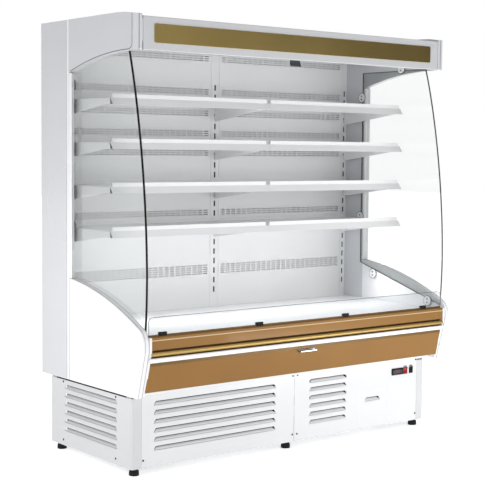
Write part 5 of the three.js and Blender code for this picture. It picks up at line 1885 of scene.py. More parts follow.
@dataclass
class Riser:
    """Clear riser in its channel, with four clips."""

    half: float = 916.7
    low: float = 649.0
    high: float = 730.0
    corner: float = 20.0
    y0: float = -421.0
    y1: float = -416.0
    clips: tuple[float, ...] = (-844.7, -301.0, 242.7, 786.7)
    clip: Point2 = (42.0, 17.0)

    def channel(self, x0: float, x1: float, top: float) -> Mesh:
        """Channel section round the riser's foot.

        Args:
            x0: Left end.
            x1: Right end.
            top: Top of its two walls.

        Returns:
            The mesh.
        """
        z0 = P.front_top + P.seat
        a, b = self.y0 - P.seat, self.y1 + P.seat
        floor = P.front_top + 2.7
        bm = prism([
            (a - 2, z0), (b + 2, z0), (b + 2, top), (b, top), (b, floor), (a, floor), (a, top), (a - 2, top),
        ], Axis.X, x0, x1)
        return soften(bm, 0.5, 2, 40)

    def build(self, bench: Bench) -> None:
        """Makes the riser's pieces."""
        corner_z = self.high - self.corner
        outline = [(-self.half, self.low), (self.half, self.low)]
        for side, start in ((Side.RIGHT, 0), (Side.LEFT, 90)):
            middle = side.value * (self.half - self.corner)
            outline += round_points(middle, corner_z, self.corner, (start + 90 * i / 8 for i in range(9)))
        glass = soften(prism(outline, Axis.Y, self.y0, self.y1), 0.7, 2, 50)
        bench.piece("riser_sheet", glass, CLEAR_RISER, replaces=["riser_glass"], sharp=FLAT)
        edge = box((-self.half + self.corner, self.y0 + 1.0, self.high - 1.6),
                   (self.half - self.corner, self.y1 - 1.0, self.high + 0.2))
        bench.piece("riser_top_edge", edge, SEAL_GREY)
        top = P.front_top + P.seat + 6
        # The channel's darker gold is painted shade: the dark line between the riser and the gold panel.
        bench.piece("riser_channel", self.channel(-self.half, self.half, top), GOLD_SHADED,
                    replaces=["riser_holder"])
        half = self.clip[0] / 2
        shells = [
            self.channel(x - half, x + half, P.front_top + P.seat + self.clip[1]) for x in self.clips
        ]
        for shell in shells:
            ops.scale(
                shell, vec=(1, 1.18, 1), verts=shell.verts[:],
                space=Matrix.Translation((0, -(self.y0 + self.y1) / 2, 0)),
            )
        bench.piece("riser_clips", together(shells), BLACK)


@dataclass
class SideGlass:
    """Bowed side glass with the seal on its front edge."""

    side: Side
    x0: float = 923.7
    x1: float = 929.7
    rear: float = 195.0
    rear_low: float = 837.7
    bow: tuple[Point2, ...] = ((-279.0, 1889.0), (-380.0, 1558.0), (-449.0, 1025.0), (-410.0, 656.0))

    def build(self, bench: Bench) -> None:
        """Makes the glass and its seal."""
        front = curve(*self.bow, 40)
        outline = [*front, (self.rear, self.rear_low), (self.rear, self.bow[0][1])]
        glass = soften(prism(outline, Axis.X, self.x0, self.x1), 0.7, 2, 50)
        bench.piece("side_glass_sheet", glass, CLEAR, side=self.side,
                    replaces=["side_glass"], sharp=FLAT)
        lap, finish = (5.5, SEAL_BLACK) if self.side is Side.LEFT else (2.6, SEAL_GREY)
        strip = band(curve(*self.bow, 40), 1.0, lap)
        seal = soften(prism(strip, Axis.X, self.x0 - 0.9, self.x1 + 0.2), 0.4, 2, 50)
        bench.piece("side_glass_seal", seal, finish, side=self.side)
        corners = [self.bow[-1], (self.rear, self.rear_low), (self.rear, self.bow[0][1]), self.bow[0]]
        edges = [
            prism(band([a, b], 0.5, 2.2), Axis.X, self.x0 - 0.5, self.x1 + 0.2)
            for a, b in zip(corners, corners[1:])
        ]
        bench.piece("side_glass_edging", together(edges), SEAL_GREY, side=self.side)


def band(path: Sequence[Point2], out: float, into: float) -> list[Point2]:
    """Outline of a strip that follows a path.

    Args:
        path: Points of the path.
        out: Reach to the path's right.
        into: Reach to its left.

    Returns:
        The strip's outline.
    """
    near, far = [], []
    for i, point in enumerate(path):
        before, after = path[max(i - 1, 0)], path[min(i + 1, len(path) - 1)]
        run = Vector((after[0] - before[0], after[1] - before[1])).normalized()
        right = Vector((run.y, -run.x))
        near.append((point[0] + right.x * out, point[1] + right.y * out))
        far.append((point[0] - right.x * into, point[1] - right.y * into))
    return near + far[::-1]


# ---------------------------------------- base


@dataclass(frozen=True)
class LouvreBank:
    """A column of lanced louvres: openings, and blades hinged below that lean inwards."""

    start: float
    end: float
    top: float = 332.0
    pitch: float = 41.0
    count: int = 6
    tall: float = 17.5
    reach: float = 8.5
    gauge: float = 1.2
    taper: float = 11.0
    slit: float = 1.0
    gap: float = 5.5
    nip: float = 15.0
    bow: float = 1.6

    def levels(self) -> list[float]:
        """Bottoms of the openings."""
        return [self.top - i * self.pitch - self.tall for i in range(self.count)]

    def windows(self) -> list[Window]:
        """The openings."""
        return [Window(self.start, self.end, z, z + self.tall, self.taper) for z in self.levels()]

    def blades(self, axis: Axis, plane: float, inward: float) -> Mesh:
        """The blades, gently bowed and shorter towards their free edge.

        Args:
            axis: Axis along which the blades run.
            plane: Outer face of the panel.
            inward: 1 or -1, the direction into the base.

        Returns:
            The mesh.
        """
        shells = []
        steps = 6
        for z in self.levels():
            path = [(plane, z - 2.0)]
            for i in range(steps + 1):
                t = i / steps
                path.append((plane + inward * self.reach * t**self.bow, z + (self.tall - self.gap) * t))
            back = [(u + inward * self.gauge, v) for u, v in reversed(path)]
            bm = prism([*path, *back], axis, self.start, self.end)
            middle = (self.start + self.end) / 2
            along = axis.value[0]
            for vert in bm.verts:
                inset = self.slit + (self.taper + self.nip) * max(0.0, vert.co.z - z) / self.tall
                vert.co[along] += inset if vert.co[along] < middle else -inset
            shells.append(bm)
        return together(shells)


@dataclass
class BaseCladding:
    """Folded base panels with their louvres, seams and screws."""

    half: float = 925.0
    front: float = -301.0
    back: float = 408.0
    low: float = 35.0
    high: float = 372.7
    front_high: float = 368.5
    gauge: float = 2.0
    wrap: float = 50.0
    radius: float = 8.0
    rear_fold: float = 30.0
    side_high: float = 354.0
    filter_reach: float = 16.0
    seam: float = 20.0
    seam_gap: float = 1.2
    side_bank: LouvreBank = LouvreBank(-180.0, 282.0)
    left_bank: LouvreBank = LouvreBank(-808.0, -96.0)
    right_bank: LouvreBank = LouvreBank(118.0, 368.0)
    tray: Window = Window(448.7, 653.3, 34.0, 242.3)
    control: Window = Window(693.0, 763.0, 295.5, 320.5)
    sockets: tuple[Window, ...] = (
        Window(773.7, 802.3, 292.2, 323.8), Window(818.7, 842.3, 292.2, 323.8),
    )
    side_screw_places: tuple[Point2, ...] = ((297.0, 344.0), (-168.0, 344.0), (297.0, 62.0), (-168.0, 62.0))
    screw_places: tuple[Point2, ...] = (
        (10.0, 361.0), (40.0, 361.0), (10.0, 70.0), (40.0, 70.0),
        (-865.0, 359.0), (-865.0, 70.0), (867.0, 359.0), (867.0, 70.0),
    )

    def side_sheet(self) -> Mesh:
        """Side sheet with its louvre openings, front wrap and rear fold.

        Returns:
            The mesh, for the right side.
        """
        x, t, r = self.half, self.gauge, self.radius
        flat = pierced(
            Axis.X, Window(self.front + r, self.back, self.low, self.side_high), x - t, x,
            self.side_bank.windows(),
        )
        outer = round_points(x - r, self.front + r, r, range(-90, 1, 10))
        inner = round_points(x - r, self.front + r, r - t, range(0, -91, -10))
        wrap = prism(
            [(x - self.wrap, self.front), *outer, *inner, (x - self.wrap, self.front + t)],
            Axis.Z, self.low, self.side_high,
        )
        fold = box((x - self.rear_fold, self.back - t, self.low), (x - t, self.back, self.side_high))
        return together([flat, wrap, fold])

    def top_gap(self) -> Mesh:
        """Painted shadow: a black strip behind the side sheet's top edge, for the shade under the case above
        it.
        """
        x, deep = self.half - 6.0, self.side_high - 12.0
        return box((x - 2, self.front + 6, deep), (x, self.back - 6, self.high - 0.3))

    def filters(self) -> Mesh:
        """Dark dust filters that stand behind the louvres.

        Returns:
            The mesh.
        """
        shells = []
        near, far = self.filter_reach, self.filter_reach + 3.0
        for bank in (self.left_bank, self.right_bank):
            low = bank.levels()[-1] - 8.0
            shells.append(box(
                (bank.start - 6, self.front + near, low), (bank.end + 6, self.front + far, bank.top + 6),
            ))
        bank = self.side_bank
        low = bank.levels()[-1] - 8.0
        for side in Side:
            x0, x1 = side_span(side, self.half - near, self.half - far)
            shells.append(box((x0, bank.start - 6, low), (x1, bank.end + 6, bank.top + 6)))
        return together(shells)

    def side_screws(self) -> Mesh:
        """Screws of a side sheet, flat against it.

        Returns:
            The mesh, for the right side.
        """
        return together([
            turned([(0, -0.5), (5.4, -0.5), (5.4, 0.4), (3.4, 1.6), (0, 1.6)], (self.half, y, z), Axis.X, 18)
            for y, z in self.side_screw_places
        ])

    def build(self, bench: Bench) -> None:
        """Makes the base's pieces."""
        for side in Side:
            bench.piece("base_side", self.side_sheet(), BASE_SIDE_SHADED, side=side,
                        replaces=["base_side_panel"])
            blades = self.side_bank.blades(Axis.Y, self.half, -1.0)
            bench.piece("base_side_louvres", blades, BASE_SIDE_SHADED, side=side, sharp=40)
            # Painted shadow strip under the side panel's overhang.
            bench.piece("base_side_gap", self.top_gap(), SEAL_BLACK, side=side)
            bench.piece("base_side_screws", self.side_screws(), SEAL_BLACK, side=side)
        y0, y1 = self.front, self.front + self.gauge
        gap = self.seam_gap
        edge = self.half - self.wrap - gap
        left = pierced(Axis.Y, Window(-edge, self.seam - gap, self.low, self.front_high), y0, y1,
                       self.left_bank.windows())
        bench.piece("base_front_left", left, BASE_WHITE, replaces=["base_front_panel_left"])
        right = pierced(Axis.Y, Window(self.seam + gap, edge, self.low, self.front_high), y0, y1,
                        [*self.right_bank.windows(), self.tray, self.control, *self.sockets])
        bench.piece("base_front_right", right, BASE_WHITE, replaces=["base_front_panel_right"])
        for word, bank in (("left", self.left_bank), ("right", self.right_bank)):
            bench.piece(f"base_front_louvres_{word}", bank.blades(Axis.X, y0, 1.0), BASE_WHITE, sharp=40)
        bench.piece("base_filters", self.filters(), SEAL_BLACK)
        # Painted shadow: a black strip behind the front sheets' top edge, for the shade under the gold front.
        shade = box((-edge, y0 + 7.0, self.front_high - 12.0), (edge, y0 + 9.0, self.high - P.seat))
        bench.piece("base_front_gap", shade, SEAL_BLACK)
        screws = [screw_head((x, y0 - 0.1, z)) for x, z in self.screw_places]
        bench.piece("base_screws", together(screws), SEAL_BLACK)


def screw_head(place: Point3, radius: float = 4.8) -> Mesh:
    """Pan-head screw facing the customer, with a recessed drive.

    Args:
        place: Middle of its seat.
        radius: Head radius.

    Returns:
        The mesh.
    """
    drive = radius * 0.42
    return turned(
        [(0, -0.6), (drive, -0.6), (drive, -radius * 0.42), (radius * 0.75, -radius * 0.38),
         (radius, -radius * 0.12), (radius, 0.0), (0, 0.0)],
        place, Axis.Y, 18,
    )


@dataclass
class CondensateTray:
    """Drawer front with a lanced finger grip, and the open pan behind it."""

    x0: float = 449.0
    x1: float = 653.0
    low: float = 35.0
    high: float = 242.0
    front: float = -301.0
    gauge: float = 2.0
    grip_half: float = 54.0
    grip_top: float = 195.0
    pan_low: float = 45.3
    pan_high: float = 115.3
    pan_back: float = -1.0
    pan_inset: float = 4.3

    def pan(self) -> Mesh:
        """The open pan, drawn from a block by insetting and sinking its top.

        Returns:
            The mesh.
        """
        bm = box((self.x0 + self.pan_inset, self.front + 2.2, self.pan_low),
                 (self.x1 - self.pan_inset, self.pan_back, self.pan_high))
        soften(bm, 8.0, 4, 60, lambda e: abs(e.verts[0].co.z - e.verts[1].co.z) > 5)
        top = max(bm.faces, key=lambda f: f.calc_center_median().z)
        ops.inset_region(bm, faces=[top], thickness=self.gauge, use_even_offset=True)
        sunk = ops.extrude_discrete_faces(bm, faces=[top])["faces"]
        verts = list({vert for face in sunk for vert in face.verts})
        ops.translate(bm, verts=verts, vec=(0, 0, self.pan_low + self.gauge - self.pan_high))
        ops.recalc_face_normals(bm, faces=bm.faces[:])
        return bm

    def build(self, bench: Bench) -> None:
        """Makes the tray's pieces."""
        middle = (self.x0 + self.x1) / 2
        bank = LouvreBank(middle - self.grip_half, middle + self.grip_half, self.grip_top, count=1, tall=18.0)
        face = pierced(
            Axis.Y, Window(self.x0, self.x1, self.low, self.high), self.front, self.front + self.gauge,
            bank.windows(),
        )
        bench.piece("tray_face", face, BASE_WHITE, body="tray", replaces=["condensate_tray"])
        bench.piece("tray_grip", bank.blades(Axis.X, self.front, 1.0), BASE_WHITE, body="tray", sharp=40)
        # Painted shade: a black plate behind the grip's opening, for the dark inside of the base.
        grip_shade = box(
            (bank.start - 6, self.front + 16, bank.top - 24), (bank.end + 6, self.front + 18, bank.top + 6),
        )
        bench.piece("tray_grip_shadow_plate", grip_shade, SEAL_BLACK, body="tray")
        bench.piece("tray_pan", self.pan(), ZINC, body="tray")


# ---------------------------------------- controls


@dataclass
class Controls:
    """Controller with its display and keys, and the two rocker switches."""

    x: float = 728.0
    z: float = 308.0
    half: Point2 = (40.0, 17.5)
    front: float = -301.0
    bezel: float = 5.3
    key: Point2 = (9.0, 14.0)
    key_inset: float = 11.5
    key_proud: float = 1.5
    rocker_tall: float = 31.0
    rockers: tuple[tuple[str, str, float, float], ...] = (
        ("main_rocker", "main_switch", 788.0, 28.0), ("light_rocker", "light_switch", 830.5, 23.0),
    )
    label: Point2 = (22.0, 6.0)
    label_lift: float = 19.5
    display: Point2 = (22.0, 10.0)

    def housing(self) -> Mesh:
        """Rounded bezel with the controller's body behind it.

        Returns:
            The mesh.
        """
        face = self.front - self.bezel
        hw, hh = self.half
        outline = rounded(self.x - hw, self.x + hw, self.z - hh, self.z + hh, 3.0, 5)
        bm = prism(outline, Axis.Y, face, self.front - 0.3)
        soften(bm, 1.2, 3, 60, lambda e: all(v.co.y < face + 0.1 for v in e.verts))
        body = box((self.x - hw + 5.5, self.front - 1, self.z - hh + 5.5),
                   (self.x + hw - 5.5, self.front + 58, self.z + hh - 5.5))
        return together([bm, body])

    def digit(self, x: float, z: float, lit: str) -> list[Mesh]:
        """Seven-segment digit.

        Args:
            x: Middle.
            z: Middle.
            lit: Letters a to g of the lit segments.

        Returns:
            One shell for each lit segment.
        """
        w, h, t = 3.0, 4.6, 0.9
        places = {
            "a": (0, h, w, t), "b": (w, h / 2, t, h), "c": (w, -h / 2, t, h), "d": (0, -h, w, t),
            "e": (-w, -h / 2, t, h), "f": (-w, h / 2, t, h), "g": (0, 0, w, t),
        }
        face = self.front - self.bezel
        shells = []
        for letter in lit:
            dx, dz, sx, sz = places[letter]
            sx, sz = (sx * 0.8, sz / 2) if sx > sz else (sx / 2, sz * 0.4)
            at, up = x + dx, z + dz
            shells.append(box((at - sx, face - 0.35, up - sz), (at + sx, face - 0.15, up + sz)))
        return shells

    def rocker(self, x: float, width: float) -> Mesh:
        """Curved rocker cap with its lower half pressed out.

        Args:
            x: Middle.
            width: Width of the cap.

        Returns:
            The mesh.
        """
        hh = self.rocker_tall / 2
        face = self.front - 2.0
        lift = hh * math.tan(math.radians(9))
        rise = []
        steps = 8
        for i in range(steps + 1):
            t = i / steps
            z = self.z - hh + 2 + (2 * hh - 4) * t
            out = (
                (face - lift) * (1 - t) ** 2 + 2 * (face + 2.2) * t * (1 - t) + (face + 1 + lift * 0.2) * t**2
            )
            rise.append((out, z))
        pivot = self.front + 4.5
        shape = [*rise, (pivot, self.z + hh - 2), (pivot + 3, self.z), (pivot, self.z - hh + 2)]
        bm = prism(shape, Axis.X, x - width / 2, x + width / 2)
        return soften(bm, 0.7, 2, 50)

    def frame(self, x: float, width: float) -> Mesh:
        """Raised frame round a rocker.

        Args:
            x: Middle.
            width: Width of the cap.

        Returns:
            The mesh.
        """
        hw, hh = width / 2 + 0.3, self.rocker_tall / 2 + 0.3
        bm = pierced(
            Axis.Y, Window(x - hw - 2, x + hw + 2, self.z - hh - 2, self.z + hh + 2),
            self.front - 2, self.front + 9, [Window(x - hw, x + hw, self.z - hh, self.z + hh)],
        )
        return soften(bm, 0.5, 2, 50, lambda e: all(v.co.y < self.front - 1.9 for v in e.verts))

    def build(self, bench: Bench) -> None:
        """Makes the controls."""
        face = self.front - self.bezel
        bench.piece("controller_housing", self.housing(), BLACK, replaces=["controller"])
        dx, dz = self.display
        window = prism(
            rounded(self.x - dx, self.x + dx, self.z - dz, self.z + dz, 2.0, 4),
            Axis.Y, face - 0.15, face + 0.6,
        )
        bench.piece("controller_display", window, DISPLAY)
        digits = self.digit(self.x - 6, self.z, "abgcd") + self.digit(self.x + 4, self.z, "abcdef")
        bench.piece("controller_digits", together(digits), RED)
        hk, vk = self.key[0] / 2, self.key[1] / 2
        for side in Side:
            x = self.x + side.value * (self.half[0] - self.key_inset)
            key = box((x - hk, face - self.key_proud, self.z - vk), (x + hk, face + 5.5, self.z + vk))
            bench.piece(f"key_{side.word}", soften(key, 1.0, 3), SEAL_GREY, body=f"key_{side.word}",
                        replaces=[f"controller_key_{side.word}"])
        for (body, node, x, width), finish in zip(self.rockers, (RED, BLACK)):
            bench.piece(f"{node}_cap", self.rocker(x, width), finish, body=body, replaces=[node])
            bench.piece(f"{node}_frame", self.frame(x, width), BLACK)
            strip = soften(box(
                (x - self.label[0] / 2, self.front - 0.5, self.z + self.label_lift),
                (x + self.label[0] / 2, self.front + 0.2, self.z + self.label_lift + self.label[1]),
            ), 0.2, 1)
            bench.piece(f"{node}_strip", strip, LABEL_RED)


# ---------------------------------------- feet


@dataclass
class Feet:
    """Six levelling feet: rubber pad, steel stud and its lock nut."""

    xs: tuple[float, ...] = (-888.0, 0.0, 888.0)
    ys: tuple[float, ...] = (-262.0, 374.0)
    words: tuple[tuple[str, ...], ...] = (("front", "rear"), ("left", "middle", "right"))
    radius: float = 23.0
    pad: float = 24.0
    stud: float = 7.0
    top: float = 34.7
    nut: tuple[Point2, ...] = ((0, 25), (11, 25), (12, 26), (12, 31), (11, 32), (0, 32))

    def build(self, bench: Bench) -> None:
        """Makes the feet."""
        for depth_word, y in zip(self.words[0], self.ys):
            for width_word, x in zip(self.words[1], self.xs):
                name = f"foot_{depth_word}_{width_word}"
                pad = turned(
                    [(0, 0), (self.radius - 1, 0), (self.radius, 1), (self.radius, self.pad * 0.55),
                     (self.radius * 0.95, self.pad * 0.9), (self.radius * 0.85, self.pad), (0, self.pad)],
                    (x, y, 0.0), Axis.Z, 32,
                )
                bench.piece(f"{name}_pad", pad, BLACK, replaces=[name])
                stud = turned(
                    [(0, self.pad - 1), (self.stud, self.pad - 1), (self.stud, self.top), (0, self.top)],
                    (x, y, 0.0), Axis.Z, 18,
                )
                nut = turned(self.nut, (x, y, 0.0), Axis.Z, 6)
                bench.piece(f"{name}_stud", together([stud, nut]), ZINC)


# ---------------------------------------- refrigeration


@dataclass
class FinnedCoil:
    """Finned coil: end plates, fins, tubes with hairpin bends."""

    name: str
    node: str
    centre: Point3
    length: float
    depth: float
    height: float
    fins: int
    tubes: Point2 = (2, 4)
    fin: float = 0.5
    tube: float = 4.8
    bend_reach: float = 12.0

    def blocks(self) -> Mesh:
        """The fins and the two end plates.

        Returns:
            The mesh.
        """
        x, y, z = self.centre
        half, deep = self.length / 2, self.depth / 2
        shells = []
        for i in range(1, self.fins):
            at = x - half + self.length * i / self.fins
            shells.append(box((at, y - deep + 2, z + 15), (at + self.fin, y + deep - 2, z + self.height - 3)))
        for end in (-1, 1):
            a, b = sorted((x + end * half, x + end * (half - 2)))
            shells.append(box((a, y - deep, z), (b, y + deep, z + self.height)))
        return together(shells)

    def piping(self) -> Mesh:
        """Straight tubes and the hairpin bends at both ends.

        Returns:
            The mesh.
        """
        x, y, z = self.centre
        columns, rows = int(self.tubes[0]), int(self.tubes[1])
        rise = self.height / rows
        shells = []
        for column in range(columns):
            ty = y + (column - (columns - 1) / 2) * self.depth / columns
            for row in range(rows):
                tz = z + rise * (row + 0.5)
                shells.append(rod(Axis.X, (x, ty, tz), self.tube, self.length + 8, 10))
                if row + 1 < rows:
                    end = 1 if (row + column) % 2 else -1
                    shells.append(self.hairpin(x + end * (self.length / 2 + 4), ty, tz, rise, end))
        return together(shells)

    def hairpin(self, x: float, y: float, z: float, rise: float, end: int) -> Mesh:
        """Half-turn bend between two tubes.

        Args:
            x: Plane where the bend starts.
            y: Place of the tube row.
            z: Height of the lower tube.
            rise: Height between the tubes.
            end: 1 to bend towards +X and -1 towards -X.

        Returns:
            The mesh.
        """
        bm = bmesh.new()
        ring = ops.create_circle(bm, cap_ends=True, segments=10, radius=self.tube)["verts"]
        ops.rotate(bm, cent=(0, 0, 0), matrix=Matrix.Rotation(math.pi / 2, 3, "Y"), verts=ring)
        ops.translate(bm, vec=(x, y, z), verts=ring)
        reach = min(rise / 2, self.bend_reach)
        ops.spin(
            bm, geom=bm.faces[:] + bm.edges[:] + bm.verts[:], cent=(x, y, z + rise / 2), axis=(0, 1, 0),
            angle=-math.pi * end, steps=8, use_merge=False, use_duplicate=False,
        )
        for vert in bm.verts:
            vert.co.x = x + (vert.co.x - x) * reach / (rise / 2)
        ops.recalc_face_normals(bm, faces=bm.faces[:])
        return bm

    def build(self, bench: Bench) -> None:
        """Makes the coil."""
        bench.piece(f"{self.name}_fins", self.blocks(), ALUMINIUM, replaces=[self.node])
        bench.piece(f"{self.name}_tubes", self.piping(), COPPER)


@dataclass
class Fan:
    """Axial fan: hub, curved blades, motor on its strut and a wire guard."""

    name: str
    node: str
    centre: Point3
    radius: float
    motor_side: int
    ground: float
    hub: float = 22.0
    hub_length: float = 20.0
    blades: int = 5
    sweep: Point2 = (0.30, 0.36)
    twist: Point2 = (0.5, 0.12)
    motor_radius: float = 26.0
    motor_half: float = 22.5
    rings: tuple[float, ...] = (0.3, 0.5, 0.7, 0.9, 1.03)

    def rotor(self) -> Mesh:
        """Hub and blades, turning about the Y axis.

        Returns:
            The mesh.
        """
        half = self.hub_length / 2
        hub = turned(
            [(0, -half), (self.hub - 3, -half), (self.hub, -half + 3), (self.hub, half), (0, half)],
            self.centre, Axis.Y, 28,
        )
        shells = [hub]
        rings, steps = 6, 8
        for blade in range(self.blades):
            bm = bmesh.new()
            ops.create_grid(bm, x_segments=rings, y_segments=steps, size=0.5)
            turn = math.tau * blade / self.blades
            for vert in bm.verts:
                along, across = vert.co.x + 0.5, vert.co.y + 0.5
                radius = self.hub * 0.85 + (self.radius * 0.98 - self.hub * 0.85) * along
                sweep = (self.sweep[0] + self.sweep[1] * along) * (across - 0.42) * 2
                twist = self.twist[0] - self.twist[1] * along
                angle = turn + sweep * 0.9
                y = -sweep * radius * math.tan(twist) * 0.42 + 3.0 * math.sin(math.pi * across)
                y = max(-half * 1.9, min(half * 1.9, y))
                vert.co = Vector((radius * math.cos(angle), y, radius * math.sin(angle)))
            thicken(bm, 1.6)
            ops.translate(bm, vec=self.centre, verts=bm.verts[:])
            shells.append(bm)
        return together(shells)

    def motor(self) -> Mesh:
        """Motor can and its strut.

        Returns:
            The mesh.
        """
        x, y, z = self.centre
        half = self.motor_half
        at = y + self.motor_side * (self.hub_length / 2 + 0.3 + self.motor_half)
        can = turned(
            [(0, -half), (20, -half), (self.motor_radius, -18), (self.motor_radius, 18), (20, half),
             (0, half)], (x, at, z), Axis.Y, 28,
        )
        strut = box((x - 15, at - 5, self.ground), (x + 15, at + 5, z))
        return together([can, soften(strut, 1.0, 2)])

    def guard(self) -> Mesh:
        """Wire guard: rings and spokes on the open side of the blades.

        Returns:
            The mesh.
        """
        x, y, z = self.centre
        plane = y - self.motor_side * (self.hub_length / 2 + 7)
        shells = []
        for share in self.rings:
            bm = bmesh.new()
            ring = ops.create_circle(bm, cap_ends=False, segments=6, radius=1.1)["verts"]
            ops.translate(bm, vec=(self.radius * share, 0, 0), verts=ring)
            ops.spin(
                bm, geom=bm.verts[:] + bm.edges[:], cent=(0, 0, 0), axis=(0, 1, 0), angle=math.tau,
                steps=36, use_merge=True, use_duplicate=False,
            )
            ops.translate(bm, vec=(x, plane, z), verts=bm.verts[:])
            ops.recalc_face_normals(bm, faces=bm.faces[:])
            shells.append(bm)
        for spoke in range(4):
            bm = rod(Axis.X, (0, 0, 0), 1.2, self.radius * 2.06, 6)
            turn = Matrix.Rotation(math.pi * spoke / 4, 3, "Y")
            ops.rotate(bm, cent=(0, 0, 0), matrix=turn, verts=bm.verts[:])
            ops.translate(bm, vec=(x, plane, z), verts=bm.verts[:])
            shells.append(bm)
        return together(shells)

    def build(self, bench: Bench) -> None:
        """Makes the fan."""
        bench.piece(f"{self.name}_rotor", self.rotor(), FAN, body=self.node, replaces=[self.node])
        bench.piece(f"{self.name}_motor", self.motor(), ZINC)
        bench.piece(f"{self.name}_guard", self.guard(), STEEL)


@dataclass
class Compressor:
    """Hermetic compressor on its plate, with a terminal cover and bent pipes."""

    x: float = 60.0
    y: float = 60.0
    low: float = 78.3
    radius: float = 82.0
    height: float = 185.0

    def pot(self) -> Mesh:
        """The welded pot.

        Returns:
            The mesh.
        """
        r, h = self.radius, self.height
        profile = [
            (0, 8), (r * 0.8, 8), (r * 0.93, h * 0.08), (r, h * 0.16), (r, h * 0.45), (r * 1.05, h * 0.46),
            (r * 1.05, h * 0.53), (r, h * 0.54),
        ]
        profile += [
            (r * math.cos(a) ** 0.8, h * 0.56 + h * 0.44 * math.sin(a))
            for a in (math.pi / 2 * i / 10 for i in range(10))
        ] + [(0, h)]
        return turned(profile, (self.x, self.y, self.low), Axis.Z, 40)

    def pipe(self, points: Sequence[Point3], radius: float) -> Mesh:
        """A bent pipe swept along points.

        Args:
            points: Corners of the pipe's route.
            radius: Pipe radius.

        Returns:
            The mesh.
        """
        route = [Vector(p) for p in points]
        for _ in range(2):
            smooth = [route[0]]
            for a, b in zip(route, route[1:]):
                smooth += [a.lerp(b, 0.25), a.lerp(b, 0.75)]
            route = [*smooth, route[-1]]
        bm = bmesh.new()
        rings = []
        for i, point in enumerate(route):
            run = (route[min(i + 1, len(route) - 1)] - route[max(i - 1, 0)]).normalized()
            turn = run.to_track_quat("Z", "Y").to_matrix()
            rings.append([
                bm.verts.new(point + turn @ Vector((radius * math.cos(a), radius * math.sin(a), 0)))
                for a in (math.tau * k / 10 for k in range(10))
            ])
        loops = [[bm.edges.new((ring[k], ring[(k + 1) % 10])) for k in range(10)] for ring in rings]
        for first, second in zip(loops, loops[1:]):
            ops.bridge_loops(bm, edges=first + second)
        for ring in (rings[0], rings[-1]):
            bm.faces.new(ring)
        ops.recalc_face_normals(bm, faces=bm.faces[:])
        return bm

    def build(self, bench: Bench) -> None:
        """Makes the compressor."""
        x, y, z, r, h = self.x, self.y, self.low, self.radius, self.height
        plate = box((x - r * 1.15, y - r * 0.9, z), (x + r * 1.15, y + r * 0.9, z + 6))
        soften(plate, 8.0, 3, 60, lambda e: abs(e.verts[0].co.z - e.verts[1].co.z) > 3)
        bench.piece("compressor_pot", self.pot(), COMPRESSOR, replaces=["compressor"])
        bench.piece("compressor_plate", plate, COMPRESSOR)
        cover = soften(box((x - 26, y - r - 22, z + 62), (x + 26, y - r * 0.8, z + 118)), 5.0, 3)
        bench.piece("compressor_terminal_cover", cover, BLACK)
        pipes = [
            self.pipe([(x - r * 0.8, y, z + h * 0.7), (x - r * 1.35, y, z + h * 0.72),
                       (x - r * 1.35, y, z + h * 1.15)], 4.6),
            self.pipe([(x + r * 0.8, y + 20, z + h * 0.3), (x + r * 1.25, y + 20, z + h * 0.32),
                       (x + r * 1.25, y + 20, z + h * 1.1)], 6.0),
        ]
        bench.piece("compressor_pipes", together(pipes), COPPER)


# ---------------------------------------- night blind


